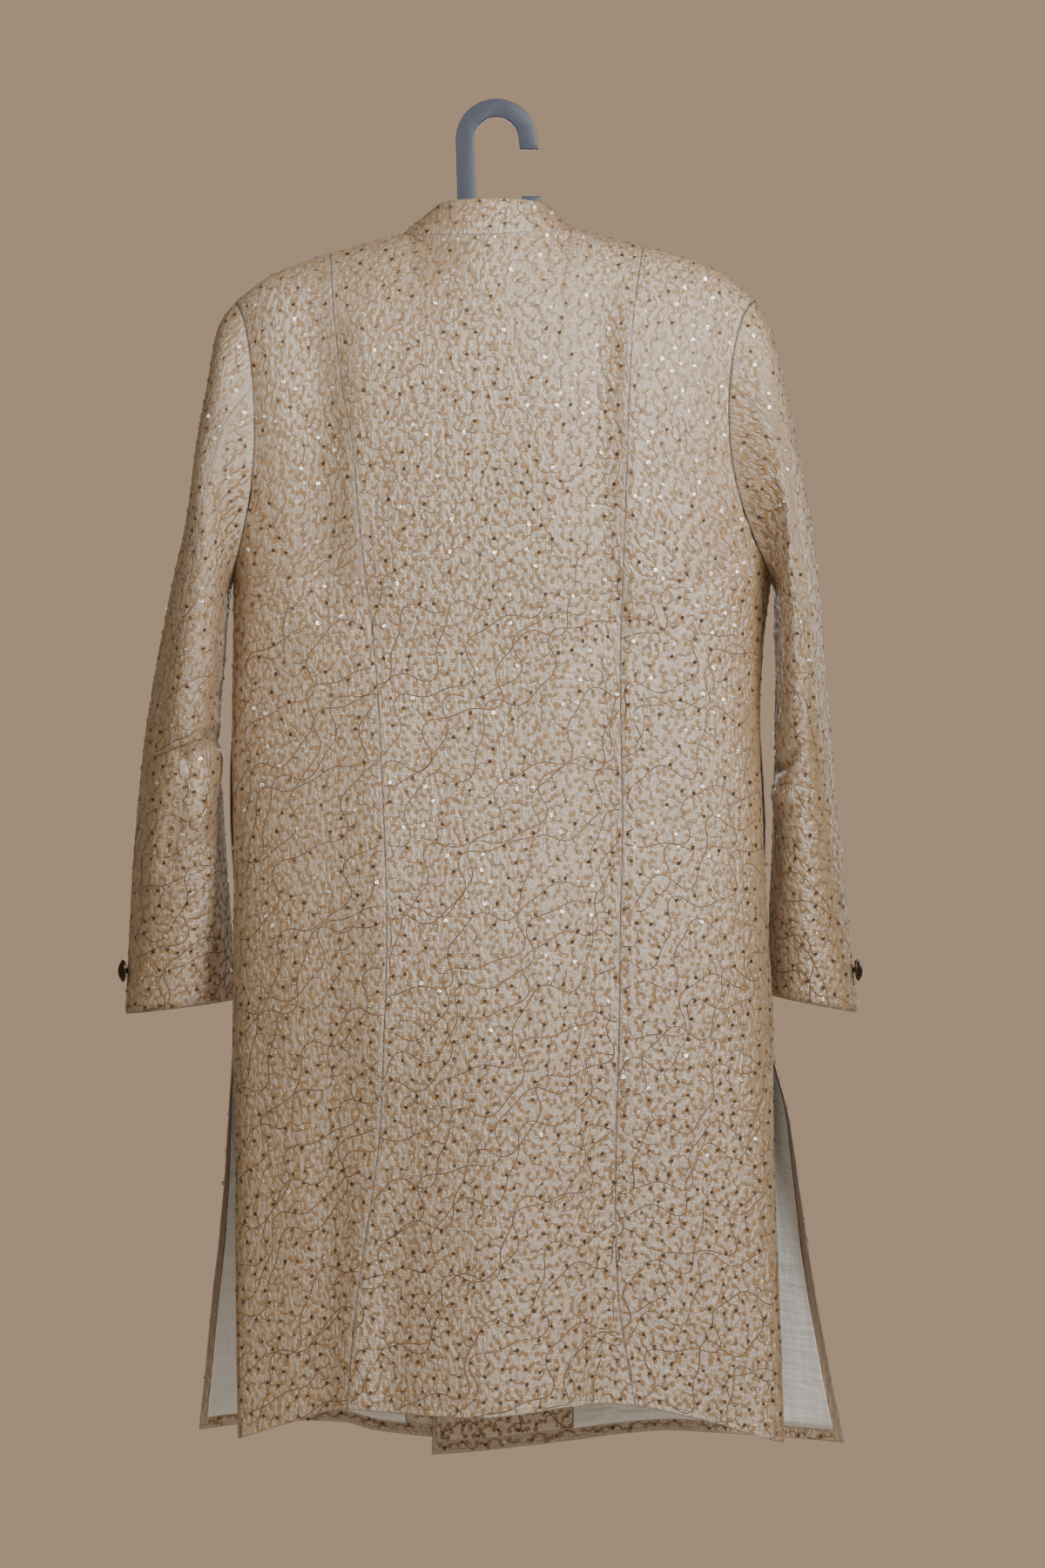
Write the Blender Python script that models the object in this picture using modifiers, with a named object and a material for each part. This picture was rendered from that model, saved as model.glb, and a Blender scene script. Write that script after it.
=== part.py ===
"""A sherwani coat hung on a moulded plastic hanger, as separate cut and sewn pieces.

+Z is up, the coat's front faces -Y and the wearer's left is +X. The origin is the point of the
hook that bears on a rail. Sizes are in millimetres and become metres where a mesh is built.
"""

import math
from collections import namedtuple

import bmesh
import bpy
import numpy as np
from mathutils import Vector

MM = 0.001

# --- Cloth and seams -------------------------------------------------------------------------

SHELL_WALL = 1.8
LINING_WALL = 1.0
COLLAR_WALL = 2.4
SEAM_GAP = 0.36
LAYER_GAP = 0.4
FRONT_LAP_LIFT = SHELL_WALL + LINING_WALL + 2 * LAYER_GAP + 0.4

# --- Levels ----------------------------------------------------------------------------------

UNDERARM_Z = -420.0
SLIT_TOP_Z = -838.0
HEM_Z = -1190.0
LINING_TOP_Z = -785.0
LINING_RISE = 11.0
POCKET_TOP_Z, POCKET_FOOT_Z = -558.0, -690.0
POCKET_GAPE = 3.2

# The rows above the underarm, as angles round the armhole from the shoulder.
UPPER_ROW_ANGLES = (0, 7.5, 15, 27, 41, 55, 69, 83, 97, 112, 129, 147, 164, 180)
LOWER_ROW_Z = (
    -450, -500, -555, -610, -665, -725, -785, SLIT_TOP_Z, -885, -945, -1010, -1075, -1135, HEM_Z,
)

# --- Neck and shoulders ----------------------------------------------------------------------

NECK_X = 7.0
NECK_HALF_WIDTH = 78.0
NECK_BACK_Y, NECK_FRONT_Y = 48.0, 58.0
NECK_BACK_DROP, NECK_FRONT_DROP = 9.0, 60.0
FRONT_EXTENSION = 22.0
# The front neckline hangs nearer to a V than to a half circle.
NECK_FRONT_POWER = 1.6
# The share of the way to the underarm over which the neck's swell takes up.
NECK_SWELL_LEVEL = 0.12
NECK_NORMAL_OUT, NECK_NORMAL_UP = 0.6, 0.8
# The place across a front at which its lining starts, inside the turned edge of the slit.
TURNED_EDGE_PLACE = 0.03
# Columns of the panels meet the collar at equal angles round half of the neck.
NECK_STEPS = 12

ShoulderPoint = namedtuple("ShoulderPoint", "x z")
SHOULDER_LEFT = (
    ShoulderPoint(85, -106),
    ShoulderPoint(126, -116.5),
    ShoulderPoint(170, -129.5),
    ShoulderPoint(204, -143),
    ShoulderPoint(220, -154),
    ShoulderPoint(237, -168),
)
SHOULDER_RIGHT = (
    ShoulderPoint(-236, -166),
    ShoulderPoint(-218, -151),
    ShoulderPoint(-203, -140),
    ShoulderPoint(-172, -127),
    ShoulderPoint(-122, -114.5),
    ShoulderPoint(-71, -101.5),
)

# --- Body sections ---------------------------------------------------------------------------

# The depths of the back and front at the coat's middle, from the shoulders to the hem.
Depth = namedtuple("Depth", "z back front")
DEPTHS = (
    Depth(HEM_Z, 46, 94),
    Depth(-1070, 52, 92),
    Depth(-950, 61, 88),
    Depth(-845, 71, 85),
    Depth(-750, 74, 80),
    Depth(-620, 69, 74),
    Depth(-500, 70, 77),
    Depth(UNDERARM_Z, 76, 84),
    Depth(-300, 82, 89),
    Depth(-200, 79, 86),
    Depth(-100, 70, 78),
)

# Where the side edges lie. Above the slits the back and the front share the side seam.
SideEdge = namedtuple("SideEdge", "z back_left back_right back_y front_left front_right front_y")
SIDE_EDGES = (
    SideEdge(HEM_Z, 235, -260, 20, 273, -319, 32),
    SideEdge(-1130, 236, -258, 18, 266.5, -306.5, 27),
    SideEdge(-1070, 236.5, -256, 15, 260.5, -295, 22),
    SideEdge(-1010, 237, -254, 12, 253.5, -284.5, 17),
    SideEdge(-950, 237, -252, 9, 248, -275, 12),
    SideEdge(-890, 238.5, -251, 5, 244, -265, 6),
    SideEdge(SLIT_TOP_Z, 240, -251, 0, 240, -251, 0),
    SideEdge(-800, 239.5, -250, 0, 239.5, -250, 0),
    SideEdge(-750, 238.5, -247, 0, 238.5, -247, 0),
    SideEdge(-690, 238, -243.5, 0, 238, -243.5, 0),
    SideEdge(-620, 239, -241, 0, 239, -241, 0),
    SideEdge(-560, 239.5, -239, 0, 239.5, -239, 0),
    SideEdge(-500, 239, -240.5, 0, 239, -240.5, 0),
    SideEdge(-460, 238.5, -244, 0, 238.5, -244, 0),
    SideEdge(UNDERARM_Z, 238.5, -249, 0, 238.5, -249, 0),
)

# The two seams of the back, from the hem to the shoulder.
PrincessSeam = namedtuple("PrincessSeam", "z left right")
PRINCESS_SEAMS = (
    PrincessSeam(HEM_Z, 133, -125),
    PrincessSeam(-1110, 126, -111),
    PrincessSeam(-1045, 118, -107),
    PrincessSeam(-955, 105, -106.5),
    PrincessSeam(-840, 98.5, -109),
    PrincessSeam(-740, 96.5, -110),
    PrincessSeam(-640, 99.5, -112),
    PrincessSeam(-500, 107.5, -110),
    PrincessSeam(-380, 121, -114),
    PrincessSeam(-295, 128.5, -117),
    PrincessSeam(-248, 138, -119),
    PrincessSeam(-187, 145, -123),
    PrincessSeam(-122, 150, -133),
)

HemPoint = namedtuple("HemPoint", "x z")
HEM_BACK = (
    HemPoint(-260, -1198),
    HemPoint(-224, -1187),
    HemPoint(-194, -1177),
    HemPoint(-131, -1162),
    HemPoint(-70, -1159),
    HemPoint(9, -1165.5),
    HemPoint(88, -1165),
    HemPoint(137, -1163.5),
    HemPoint(186, -1178),
    HemPoint(236, -1195),
)
HEM_FRONT_LEFT = (
    HemPoint(-31, -1219),
    HemPoint(64, -1213),
    HemPoint(114, -1205),
    HemPoint(143, -1195.5),
    HemPoint(218, -1193.5),
    HemPoint(273, -1196),
)
HEM_FRONT_RIGHT = (
    HemPoint(-319, -1208),
    HemPoint(-266, -1207),
    HemPoint(-210, -1205.5),
    HemPoint(-158, -1205.5),
    HemPoint(-108, -1209.5),
    HemPoint(-70, -1217),
    HemPoint(15, -1227),
    HemPoint(61, -1229.5),
)
LAP_EDGE_LEFT_X, LAP_EDGE_RIGHT_X = -31.0, 61.0
# The left front lies over the right one as far as this x, and eases down to it over this width.
LAP_END_X, LAP_EASE_WIDTH = 122.0, 50.0
LAP_TOP_LEAN, LAP_LEAN_LEVEL = 37.0, 0.3
# How full the coat's sections are: 2 is an ellipse, and more is squarer.
BODY_FULLNESS = 2.3
SKIRT_FULLNESS, SKIRT_ROOT = 1.6, 0.8

# A fold runs from its top to its foot. A positive rise stands out of the cloth.
Fold = namedtuple("Fold", "top_x top_z foot_x foot_z width top_rise foot_rise")
# How far a fold dies away past each of its ends.
FOLD_END = 40.0
BACK_FOLDS = (
    Fold(5, -560, 5, -1200, 92, 0, 38),
    Fold(-100, -170, -111, -460, 25, -6, -8),
    Fold(-110, -460, -114, -1200, 23, -5, -9),
    Fold(157, -220, 150, -410, 33, -5, -6),
    Fold(108, -340, 113, -440, 14, -4, -3),
    Fold(118, -880, 124, -1200, 17, 0, 6),
)
FRONT_FOLDS = (
    Fold(150, -640, 150, -1220, 34, 0, -7),
    Fold(-96, -700, -112, -1220, 30, 0, -8),
    Fold(-205, -860, -222, -1220, 30, 0, -5),
)

# --- Sleeves ---------------------------------------------------------------------------------

# Each row is a ring round the sleeve, from the armhole to the cuff.
SleeveRing = namedtuple("SleeveRing", "outer_x outer_z inner_x inner_z y half_depth scoop")
SLEEVE_LEFT = (
    SleeveRing(237, -168, 238.5, UNDERARM_Z, 0, 50, 22),
    SleeveRing(253, -192, 242.5, -431, 0, 60, 10),
    SleeveRing(261, -241, 244, -447, 0, 67, 2),
    SleeveRing(270, -289, 246, -472, 0, 72, 0),
    SleeveRing(280, -360, 248.5, -506, -3, 75, 0),
    SleeveRing(295, -430, 252, -543, -8, 75, 0),
    SleeveRing(310, -502, 252.5, -582, -16, 71, 0),
    SleeveRing(323, -579, 250.5, -629, -28, 63, 0),
    SleeveRing(332.5, -661, 247, -693, -42, 54, 0),
    SleeveRing(338.5, -737, 244, -752, -54, 46, 0),
    SleeveRing(343, -816.5, 242.5, -804, -62, 38, 0),
)
SLEEVE_RIGHT = (
    SleeveRing(-236, -166, -249, UNDERARM_Z, 0, 50, 34),
    SleeveRing(-249, -192, -253.5, -430, 0, 60, 10),
    SleeveRing(-260.5, -242, -254.5, -446, 0, 67, 2),
    SleeveRing(-270, -289, -254, -472, 0, 72, 0),
    SleeveRing(-283.5, -359.5, -254.5, -506, -3, 75, 0),
    SleeveRing(-292, -424, -254, -543, -8, 75, 0),
    SleeveRing(-298.5, -501.5, -254, -582, -16, 71, 0),
    SleeveRing(-306, -579, -253.5, -629, -28, 63, 0),
    SleeveRing(-316, -661, -252, -693, -42, 54, 0),
    SleeveRing(-324, -737, -251, -752, -54, 46, 0),
    SleeveRing(-333.5, -815, -251.5, -799.5, -62, 38, 0),
)
ARMHOLE_HALF_DEPTH = 50.0
ARMHOLE_BLEND = 38.0
# How far the cloth leans out at the top of the armhole.
ARMHOLE_TILT = 0.45
# The armhole is scooped further in at the front, and its scoop is narrower below its middle.
FRONT_SCOOP = 1.2
UPPER_SCOOP_POWER, LOWER_SCOOP_POWER = 1.3, 2.2
# The back seam's angle round each ring, from the sleeve's outer edge towards its back.
BACK_SEAM_ANGLES = (69, 75, 77, 74, 70, 66, 57, 49, 37, 32, 32)
FRONT_SEAM_ANGLE = 231.0
SLEEVE_ROWS = 17
# The columns of each piece at the armhole, where they meet the body's rows.
TOP_SLEEVE_ANGLES = (-129, -112, -97, -83, -69, -55, -41, -27, -15, 0, 15, 27, 41, 55, 69)
UNDER_SLEEVE_ANGLES = (69, 83, 97, 112, 129, 147, 164, 180, 196, 213, 231)

# A crease of the elbow, from one ring and angle to another.
Crease = namedtuple("Crease", "top_ring top_angle foot_ring foot_angle width rise")
CREASES_LEFT = (
    Crease(5.5, 165, 6.7, 112, 8, -4),
    Crease(6.7, 112, 8.0, 88, 9, -4),
    Crease(6.1, 165, 7.2, 120, 9, 3),
)
CREASES_RIGHT = (
    Crease(6.2, 180, 6.5, 120, 8, -4),
    Crease(6.7, 175, 7.0, 125, 8, 3),
)
RING_SPACING = 62.0
ARM_RADIUS = 52.0

# --- Collar, buttons and hanger --------------------------------------------------------------

COLLAR_TOP_X, COLLAR_TOP_HALF_WIDTH = 3.5, 48.5
COLLAR_TOP_BACK_Y, COLLAR_TOP_FRONT_Y = 35.0, 44.0
COLLAR_TOP_Z, COLLAR_TOP_FRONT_DROP = -78.5, 50.0
COLLAR_ROWS = 3
COLLAR_OPENING = 1.2
COLLAR_GAP = SEAM_GAP + 0.1
COLLAR_LEAN = 0.35

BUTTON_RADIUS = 10.5
BUTTON_STEPS = 14
BUTTON_CLEARANCE = 0.3
ProfilePoint = namedtuple("ProfilePoint", "radius height")
BUTTON_PROFILE = (
    ProfilePoint(0, 0),
    ProfilePoint(2.4, 0),
    ProfilePoint(2.4, 2.2),
    ProfilePoint(0.85 * BUTTON_RADIUS, 2.8),
    ProfilePoint(BUTTON_RADIUS, 4.6),
    ProfilePoint(0.75 * BUTTON_RADIUS, 7.3),
    ProfilePoint(0.38 * BUTTON_RADIUS, 8.7),
    ProfilePoint(0, 9),
)
FRONT_BUTTON_COUNT = 7
FRONT_BUTTON_TOP_Z, FRONT_BUTTON_SPACING = -190.0, 82.0
CUFF_BUTTON_RING, CUFF_BUTTON_ANGLE = 9.5, 14.0

HOOK_INNER_RADIUS, HOOK_OUTER_RADIUS = 20.3, 36.8
HOOK_THICKNESS = 6.0
HOOK_TIP_Z = -29.4
UPRIGHT_LEFT_X, UPRIGHT_WIDTH = 26.5, 17.2
STUB_X, STUB_TOP_Z = -31.7, -71.8
BRIDGE_TOP_Z, BRIDGE_FOOT_Z = -114.0, -128.0
# The hook's tip flares out a little, and its long upright widens to its full width here.
TIP_FLARE_OUTER, TIP_FLARE_INNER = 1.4, 0.8
UPRIGHT_EASE_Z = BRIDGE_TOP_Z + 30
HOOK_STEPS_OUTER, HOOK_STEPS_INNER = 24, 18
# The middle of the moulding, which joins the arms behind the plate's bridge.
MIDDLE_PLACES_X = (-58, -44, 40, 58)
MIDDLE_HALF_WIDTH, MIDDLE_HEIGHT = 13.0, 26.0
MIDDLE_TOP_Z, MIDDLE_CROWN = BRIDGE_TOP_Z + 1.5, 3.0
MIDDLE_FOOT_SHARE = 0.7
ARM_ANGLES = (-15, -7.5, 0, 7.5, 15)
ARM_FOOT_SHARE = 0.62
ARM_HEIGHT_INNER, ARM_HEIGHT_TIP = 30.0, 16.0
ARM_INNER_GAP, ARM_TIP_GAP = 7.0, 9.0
ARM_STATIONS = 9
ARM_GAP = 0.45

# --- Colours ---------------------------------------------------------------------------------

Finish = namedtuple("Finish", "colour roughness metallic")
RAW_SILK = Finish((0.62, 0.55, 0.45), 0.62, 0.0)
SATIN = Finish((0.55, 0.55, 0.54), 0.38, 0.0)
ANTIQUE_METAL = Finish((0.16, 0.12, 0.08), 0.35, 0.9)
SLATE_PLASTIC = Finish((0.10, 0.13, 0.17), 0.42, 0.0)


def smooth(place, places, values):
    """The value at a place on the smooth curve through a table's column, level past its ends."""
    if place <= places[0]:
        return float(values[0])
    if place >= places[-1]:
        return float(values[-1])
    i = int(np.searchsorted(places, place, side="right")) - 1
    slopes = []
    for at in (i, i + 1):
        low, high = max(at - 1, 0), min(at + 1, len(places) - 1)
        slopes.append((values[high] - values[low]) / (places[high] - places[low]))
    step = places[i + 1] - places[i]
    u = (place - places[i]) / step
    rise = values[i + 1] - values[i]
    start = values[i] + slopes[0] * step * u
    return float(start + (3 * rise - (2 * slopes[0] + slopes[1]) * step) * u**2
                 + ((slopes[0] + slopes[1]) * step - 2 * rise) * u**3)


def column(table, by, name, place):
    return smooth(place, [getattr(row, by) for row in table], [getattr(row, name) for row in table])


def ease(amount):
    """0 to 1 along an S-shaped curve, held outside that range."""
    amount = min(max(amount, 0.0), 1.0)
    return amount * amount * (3 - 2 * amount)


def finish(obj, look):
    """Gives an object its own material."""
    material = bpy.data.materials.new(obj.name + "_finish")
    material.use_nodes = True
    shader = material.node_tree.nodes["Principled BSDF"]
    shader.inputs["Base Color"].default_value = (*look.colour, 1.0)
    shader.inputs["Roughness"].default_value = look.roughness
    shader.inputs["Metallic"].default_value = look.metallic
    obj.data.materials.clear()
    obj.data.materials.append(material)


def wall(name, outside, inside, look, parts):
    """A closed wall of cloth between two grids of points, which are lists of rows."""
    shape = bmesh.new()
    faces_out = [[shape.verts.new(point * MM) for point in row] for row in outside]
    faces_in = [[shape.verts.new(point * MM) for point in row] for row in inside]
    rows, columns = len(outside), len(outside[0])
    for i in range(rows - 1):
        for j in range(columns - 1):
            for side in (faces_out, faces_in):
                shape.faces.new((side[i][j], side[i][j + 1], side[i + 1][j + 1], side[i + 1][j]))
    rim = [(0, j) for j in range(columns)]
    rim += [(i, columns - 1) for i in range(1, rows)]
    rim += [(rows - 1, j) for j in range(columns - 2, -1, -1)]
    rim += [(i, 0) for i in range(rows - 2, 0, -1)]
    for (i, j), (k, m) in zip(rim, rim[1:] + rim[:1]):
        shape.faces.new((faces_out[i][j], faces_out[k][m], faces_in[k][m], faces_in[i][j]))
    bmesh.ops.recalc_face_normals(shape, faces=shape.faces[:])
    if shape.calc_volume(signed=True) < 0:
        bmesh.ops.reverse_faces(shape, faces=shape.faces[:])
    return add_object(name, shape, look, parts)


def add_object(name, shape, look, parts):
    mesh = bpy.data.meshes.new(name)
    shape.to_mesh(mesh)
    shape.free()
    obj = bpy.data.objects.new(name, mesh)
    parts.objects.link(obj)
    finish(obj, look)
    return obj


# --- The sleeve's surface --------------------------------------------------------------------


def sleeve_table(side):
    return SLEEVE_LEFT if side > 0 else SLEEVE_RIGHT


def sleeve_point(side, ring, angle):
    """A point of a sleeve's outer face. The angle runs in degrees from its outer edge to its back."""
    table = sleeve_table(side)
    rings = range(len(table))
    outer_x, outer_z, inner_x, inner_z, middle_y, half_depth, scoop = (
        smooth(ring, rings, [getattr(row, name) for row in table]) for name in SleeveRing._fields
    )
    turn = math.radians(angle)
    if math.sin(turn) < 0:
        scoop *= FRONT_SCOOP
    lean = math.cos(turn) / 2
    x = (outer_x + inner_x) / 2 + (outer_x - inner_x) * lean
    z = (outer_z + inner_z) / 2 + (outer_z - inner_z) * lean
    power = UPPER_SCOOP_POWER if math.cos(turn) > 0 else LOWER_SCOOP_POWER
    x -= side * scoop * abs(math.sin(turn)) ** power
    return Vector((x, middle_y + half_depth * math.sin(turn), z))


def crease_rise(side, ring, angle):
    """How far a sleeve's creases move its cloth out at one place."""
    total = 0.0
    here = Vector((ring * RING_SPACING, math.radians(angle % 360) * ARM_RADIUS))
    for crease in CREASES_LEFT if side > 0 else CREASES_RIGHT:
        top = Vector((crease.top_ring * RING_SPACING, math.radians(crease.top_angle) * ARM_RADIUS))
        foot = Vector((crease.foot_ring * RING_SPACING, math.radians(crease.foot_angle) * ARM_RADIUS))
        along = (here - top).dot(foot - top) / (foot - top).length_squared
        nearest = top + (foot - top) * min(max(along, 0.0), 1.0)
        total += crease.rise * math.exp(-(((here - nearest).length / crease.width) ** 2))
    return total


def armhole_normal(side, angle):
    """The way out of the cloth at the armhole seam, which the body and the sleeve share."""
    turn = math.radians(angle)
    height = (SLEEVE_LEFT[0].outer_z - SLEEVE_LEFT[0].inner_z) / 2
    across, up = math.sin(turn) / ARMHOLE_HALF_DEPTH, math.cos(turn) / height
    length = math.hypot(across, up)
    tilt = ARMHOLE_TILT * (1 + math.cos(turn)) / 2
    return Vector((side * tilt, across / length, up / length)).normalized()


def sleeve_skin(side, ring, angle, depth):
    """A point of a sleeve's cloth, so far inside its outer face."""
    point = sleeve_point(side, ring, angle)
    step = 0.02
    if ring < step:
        normal = armhole_normal(side, angle)
    else:
        after = min(ring + step, len(sleeve_table(side)) - 1)
        down = sleeve_point(side, after, angle) - sleeve_point(side, after - 2 * step, angle)
        round_arm = sleeve_point(side, ring, angle + 1) - sleeve_point(side, ring, angle - 1)
        normal = down.cross(round_arm).normalized() * -side
    return point + normal * (crease_rise(side, ring, angle) - depth)


# --- The body's surface ----------------------------------------------------------------------

# A level runs from 0 at the shoulder to 1 at the underarm and 2 at the hem. A place across the
# back runs from 0 at its left side through the seams and the neck's corners to 5 at its right
# side, and across a front from 0 at its side through the neck's corner at 1 to its edge at 2.


def lower_z(level):
    return UNDERARM_Z + (HEM_Z - UNDERARM_Z) * (max(level, 1) - 1)


def level_of(z):
    """The level of a row that is below the underarm."""
    return 1 + (z - UNDERARM_Z) / (HEM_Z - UNDERARM_Z)


def side_x(face, side, level):
    if level <= 1:
        angle = math.degrees(math.pi * level)
        return sleeve_point(side, 0, angle if face == "back" else -angle).x
    z = lower_z(level)
    name = f"{face}_{'left' if side > 0 else 'right'}"
    gape = 0.0
    if face == "front" and POCKET_FOOT_Z < z < POCKET_TOP_Z:
        reach = (z - POCKET_FOOT_Z) / (POCKET_TOP_Z - POCKET_FOOT_Z)
        gape = POCKET_GAPE * math.sin(math.pi * reach) ** 0.7
    return column(SIDE_EDGES, "z", name, z) + side * gape


def corner_x(side):
    return NECK_X + side * NECK_HALF_WIDTH


def seam_x(side, level):
    name = "left" if side > 0 else "right"
    if level > 1:
        return column(PRINCESS_SEAMS, "z", name, lower_z(level))
    top = PRINCESS_SEAMS[-1].z
    z = top + (UNDERARM_Z - top) * (1 - math.cos(math.pi * level)) / 2
    return column(PRINCESS_SEAMS, "z", name, z)


def lap_edge_x(side, level):
    """The free edge of a front. The left front laps past the middle over the right one."""
    foot = LAP_EDGE_LEFT_X if side > 0 else LAP_EDGE_RIGHT_X
    top = NECK_X - side * FRONT_EXTENSION
    return top + (foot - top) * level / 2


def between(low, high, share):
    return low + (high - low) * share


def side_share(share, level):
    """The share of the way to a side. The columns crowd there where the body turns, above the slit."""
    crowded = math.sin(math.pi / 2 * share)
    open_part = ease((SLIT_TOP_Z - lower_z(level)) / (SLIT_TOP_Z - HEM_Z) * 1.5)
    return between(crowded, share, open_part)


def body_x(face, side, across, level):
    """The x of a place."""
    if face == "back":
        if across <= 1:
            return between(seam_x(1, level), side_x("back", 1, level), side_share(1 - across, level))
        if across >= 4:
            return between(seam_x(-1, level), side_x("back", -1, level), side_share(across - 4, level))
        stops = (seam_x(1, level), corner_x(1), corner_x(-1), seam_x(-1, level))
        first = min(int(across) - 1, 2)
        return between(stops[first], stops[first + 1], across - 1 - first)
    if across <= 1:
        return between(corner_x(side), side_x("front", side, level), side_share(1 - across, level))
    return between(corner_x(side), lap_edge_x(side, level), across - 1)


def top_of(face, x):
    """The y and z of the shoulder line, or of the neck seam between its corners."""
    reach = (x - NECK_X) / NECK_HALF_WIDTH
    if abs(reach) >= 1:
        table = SHOULDER_LEFT if x > 0 else SHOULDER_RIGHT
        return 0.0, column(table, "x", "z", x)
    round_neck = math.sqrt(1 - reach * reach)
    corner_z = between(SHOULDER_RIGHT[-1].z, SHOULDER_LEFT[0].z, (reach + 1) / 2)
    if face == "back":
        return NECK_BACK_Y * round_neck, corner_z - NECK_BACK_DROP * round_neck
    return NECK_FRONT_Y * round_neck, corner_z - NECK_FRONT_DROP * round_neck**NECK_FRONT_POWER


def fold_rise(face, x, z):
    total = 0.0
    for fold in BACK_FOLDS if face == "back" else FRONT_FOLDS:
        along = (z - fold.top_z) / (fold.foot_z - fold.top_z)
        held = min(max(along, 0.0), 1.0)
        axis = between(fold.top_x, fold.foot_x, held)
        rise = between(fold.top_rise, fold.foot_rise, held)
        past_end = abs(along - held) * abs(fold.foot_z - fold.top_z)
        total += rise * math.exp(-(((x - axis) / fold.width) ** 2) - (past_end / FOLD_END) ** 2)
    return total


def bulge_at(face, x, level, power=BODY_FULLNESS, root=1 / BODY_FULLNESS):
    """How full the body is at one x, from 0 at its sides to 1 at its middle."""
    left, right = side_x(face, 1, max(level, 1)), side_x(face, -1, max(level, 1))
    reach = min(abs(x - (left + right) / 2) / ((left - right) / 2), 1.0)
    return (1 - reach**power) ** root


def neck_swell(face, x):
    """How far the neck holds the cloth out, a little below its seam."""
    reach = min(abs(x - NECK_X) / NECK_HALF_WIDTH, 1.0)
    return (NECK_BACK_Y if face == "back" else NECK_FRONT_Y) * (1 - reach * reach) ** 1.5


def body_point(face, side, across, level):
    """A point of the coat's outer face."""
    x = body_x(face, side, across, level)
    top_y, top_z = top_of(face, body_x(face, side, across, 0))
    bulge = bulge_at(face, x, level)
    if level <= 1:
        roll = math.sin(math.pi * min(level, 0.5))
        z = between(top_z, UNDERARM_Z, (1 - math.cos(math.pi * level)) / 2)
        depth = column(DEPTHS, "z", face, z) * roll
        edge_y = 0.0
        here = side if face == "front" else (1 if x > NECK_X else -1)
        armhole_x = side_x(face, here, level)
        armhole_y = ARMHOLE_HALF_DEPTH * math.sin(math.pi * level)
        armhole_y -= depth * bulge_at(face, armhole_x, level)
        armhole_y *= math.exp(-(((armhole_x - x) / ARMHOLE_BLEND) ** 2))
        top_y = between(top_y, neck_swell(face, x), ease(level / NECK_SWELL_LEVEL))
    else:
        roll = 1.0
        armhole_y = 0.0
        nominal = lower_z(level)
        edge_y = column(SIDE_EDGES, "z", face + "_y", nominal)
        if face == "front":
            spread = bulge_at(face, x, level, SKIRT_FULLNESS, SKIRT_ROOT)
            bulge = between(bulge, spread, ease((SLIT_TOP_Z - nominal) / (SLIT_TOP_Z - HEM_Z)))
        foot_x = body_x(face, side, across, 2)
        if face == "back":
            hem_z = column(HEM_BACK, "x", "z", foot_x)
        else:
            hem_z = column(HEM_FRONT_LEFT if side > 0 else HEM_FRONT_RIGHT, "x", "z", foot_x)
        z = between(UNDERARM_Z, hem_z, level - 1)
        depth = column(DEPTHS, "z", face, nominal)
    y = top_y * (1 - roll) + edge_y + (depth - edge_y) * bulge + armhole_y
    y += fold_rise(face, x, z) * roll * bulge
    if face == "back":
        return Vector((x, y + SEAM_GAP / 2, z))
    lift = lap_lift(x, level) if side > 0 else Vector((0, 0, 0))
    return Vector((x, -y - SEAM_GAP / 2, z)) + lift


def lap_lift(x, level):
    """How far the left front lies out from the right one, straight out from the cloth."""
    lean = math.radians(between(LAP_TOP_LEAN, 90, ease(level / LAP_LEAN_LEVEL)))
    share = ease((LAP_END_X - x) / LAP_EASE_WIDTH)
    return Vector((0, -math.sin(lean), math.cos(lean))) * FRONT_LAP_LIFT * share


def neck_normal(x, y):
    """The way out of the cloth at the neck seam, which the body and the collar share."""
    half_depth = NECK_BACK_Y if y > 0 else NECK_FRONT_Y
    outward = Vector(((x - NECK_X) / NECK_HALF_WIDTH, y / half_depth, 0)).normalized()
    return (outward * NECK_NORMAL_OUT + Vector((0, 0, NECK_NORMAL_UP))).normalized()


def body_skin(face, side, across, level, depth):
    """A point of the coat's cloth, so far inside its outer face."""
    point = body_point(face, side, across, level)
    last = 5 if face == "back" else 2
    at_side = across < 0.001 or (face == "back" and across > 4.999)
    here = side if face == "front" else (1 if across < 2.5 else -1)
    if at_side and level <= 1:
        angle = math.degrees(math.pi * level)
        normal = armhole_normal(here, angle if face == "back" else -angle)
        point.x -= here * SEAM_GAP / 2
    elif level < 0.001 and abs(point.x - NECK_X) <= NECK_HALF_WIDTH + 0.01:
        normal = neck_normal(point.x, point.y)
    else:
        step = 0.01
        low, high = max(across - step, 0), min(across + step, last)
        above, below = max(level - step, 0), min(level + step, 2)
        over = body_point(face, side, high, level) - body_point(face, side, low, level)
        down = body_point(face, side, across, below) - body_point(face, side, across, above)
        normal = over.cross(down)
        if normal.dot(Vector((0, 1 if face == "back" else -1, 0.2))) < 0:
            normal.negate()
        if at_side and lower_z(level) >= SLIT_TOP_Z:
            normal = Vector((here, 0, 0))
        if level < 0.001:
            normal.y = 0
        normal.normalize()
    return point - normal * depth


# --- Pieces ----------------------------------------------------------------------------------


def spaced(low, high, count):
    return [between(low, high, i / count) for i in range(count + 1)]


def body_levels():
    return [angle / 180 for angle in UPPER_ROW_ANGLES] + [level_of(z) for z in LOWER_ROW_Z]


def seam_trim(face, side, across, level):
    """The share of a column's step that leaves half a seam gap beside it."""
    step = 0.01
    width = abs(body_x(face, side, across + step, level) - body_x(face, side, across - step, level))
    return SEAM_GAP / 2 / (width / (2 * step))


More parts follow.
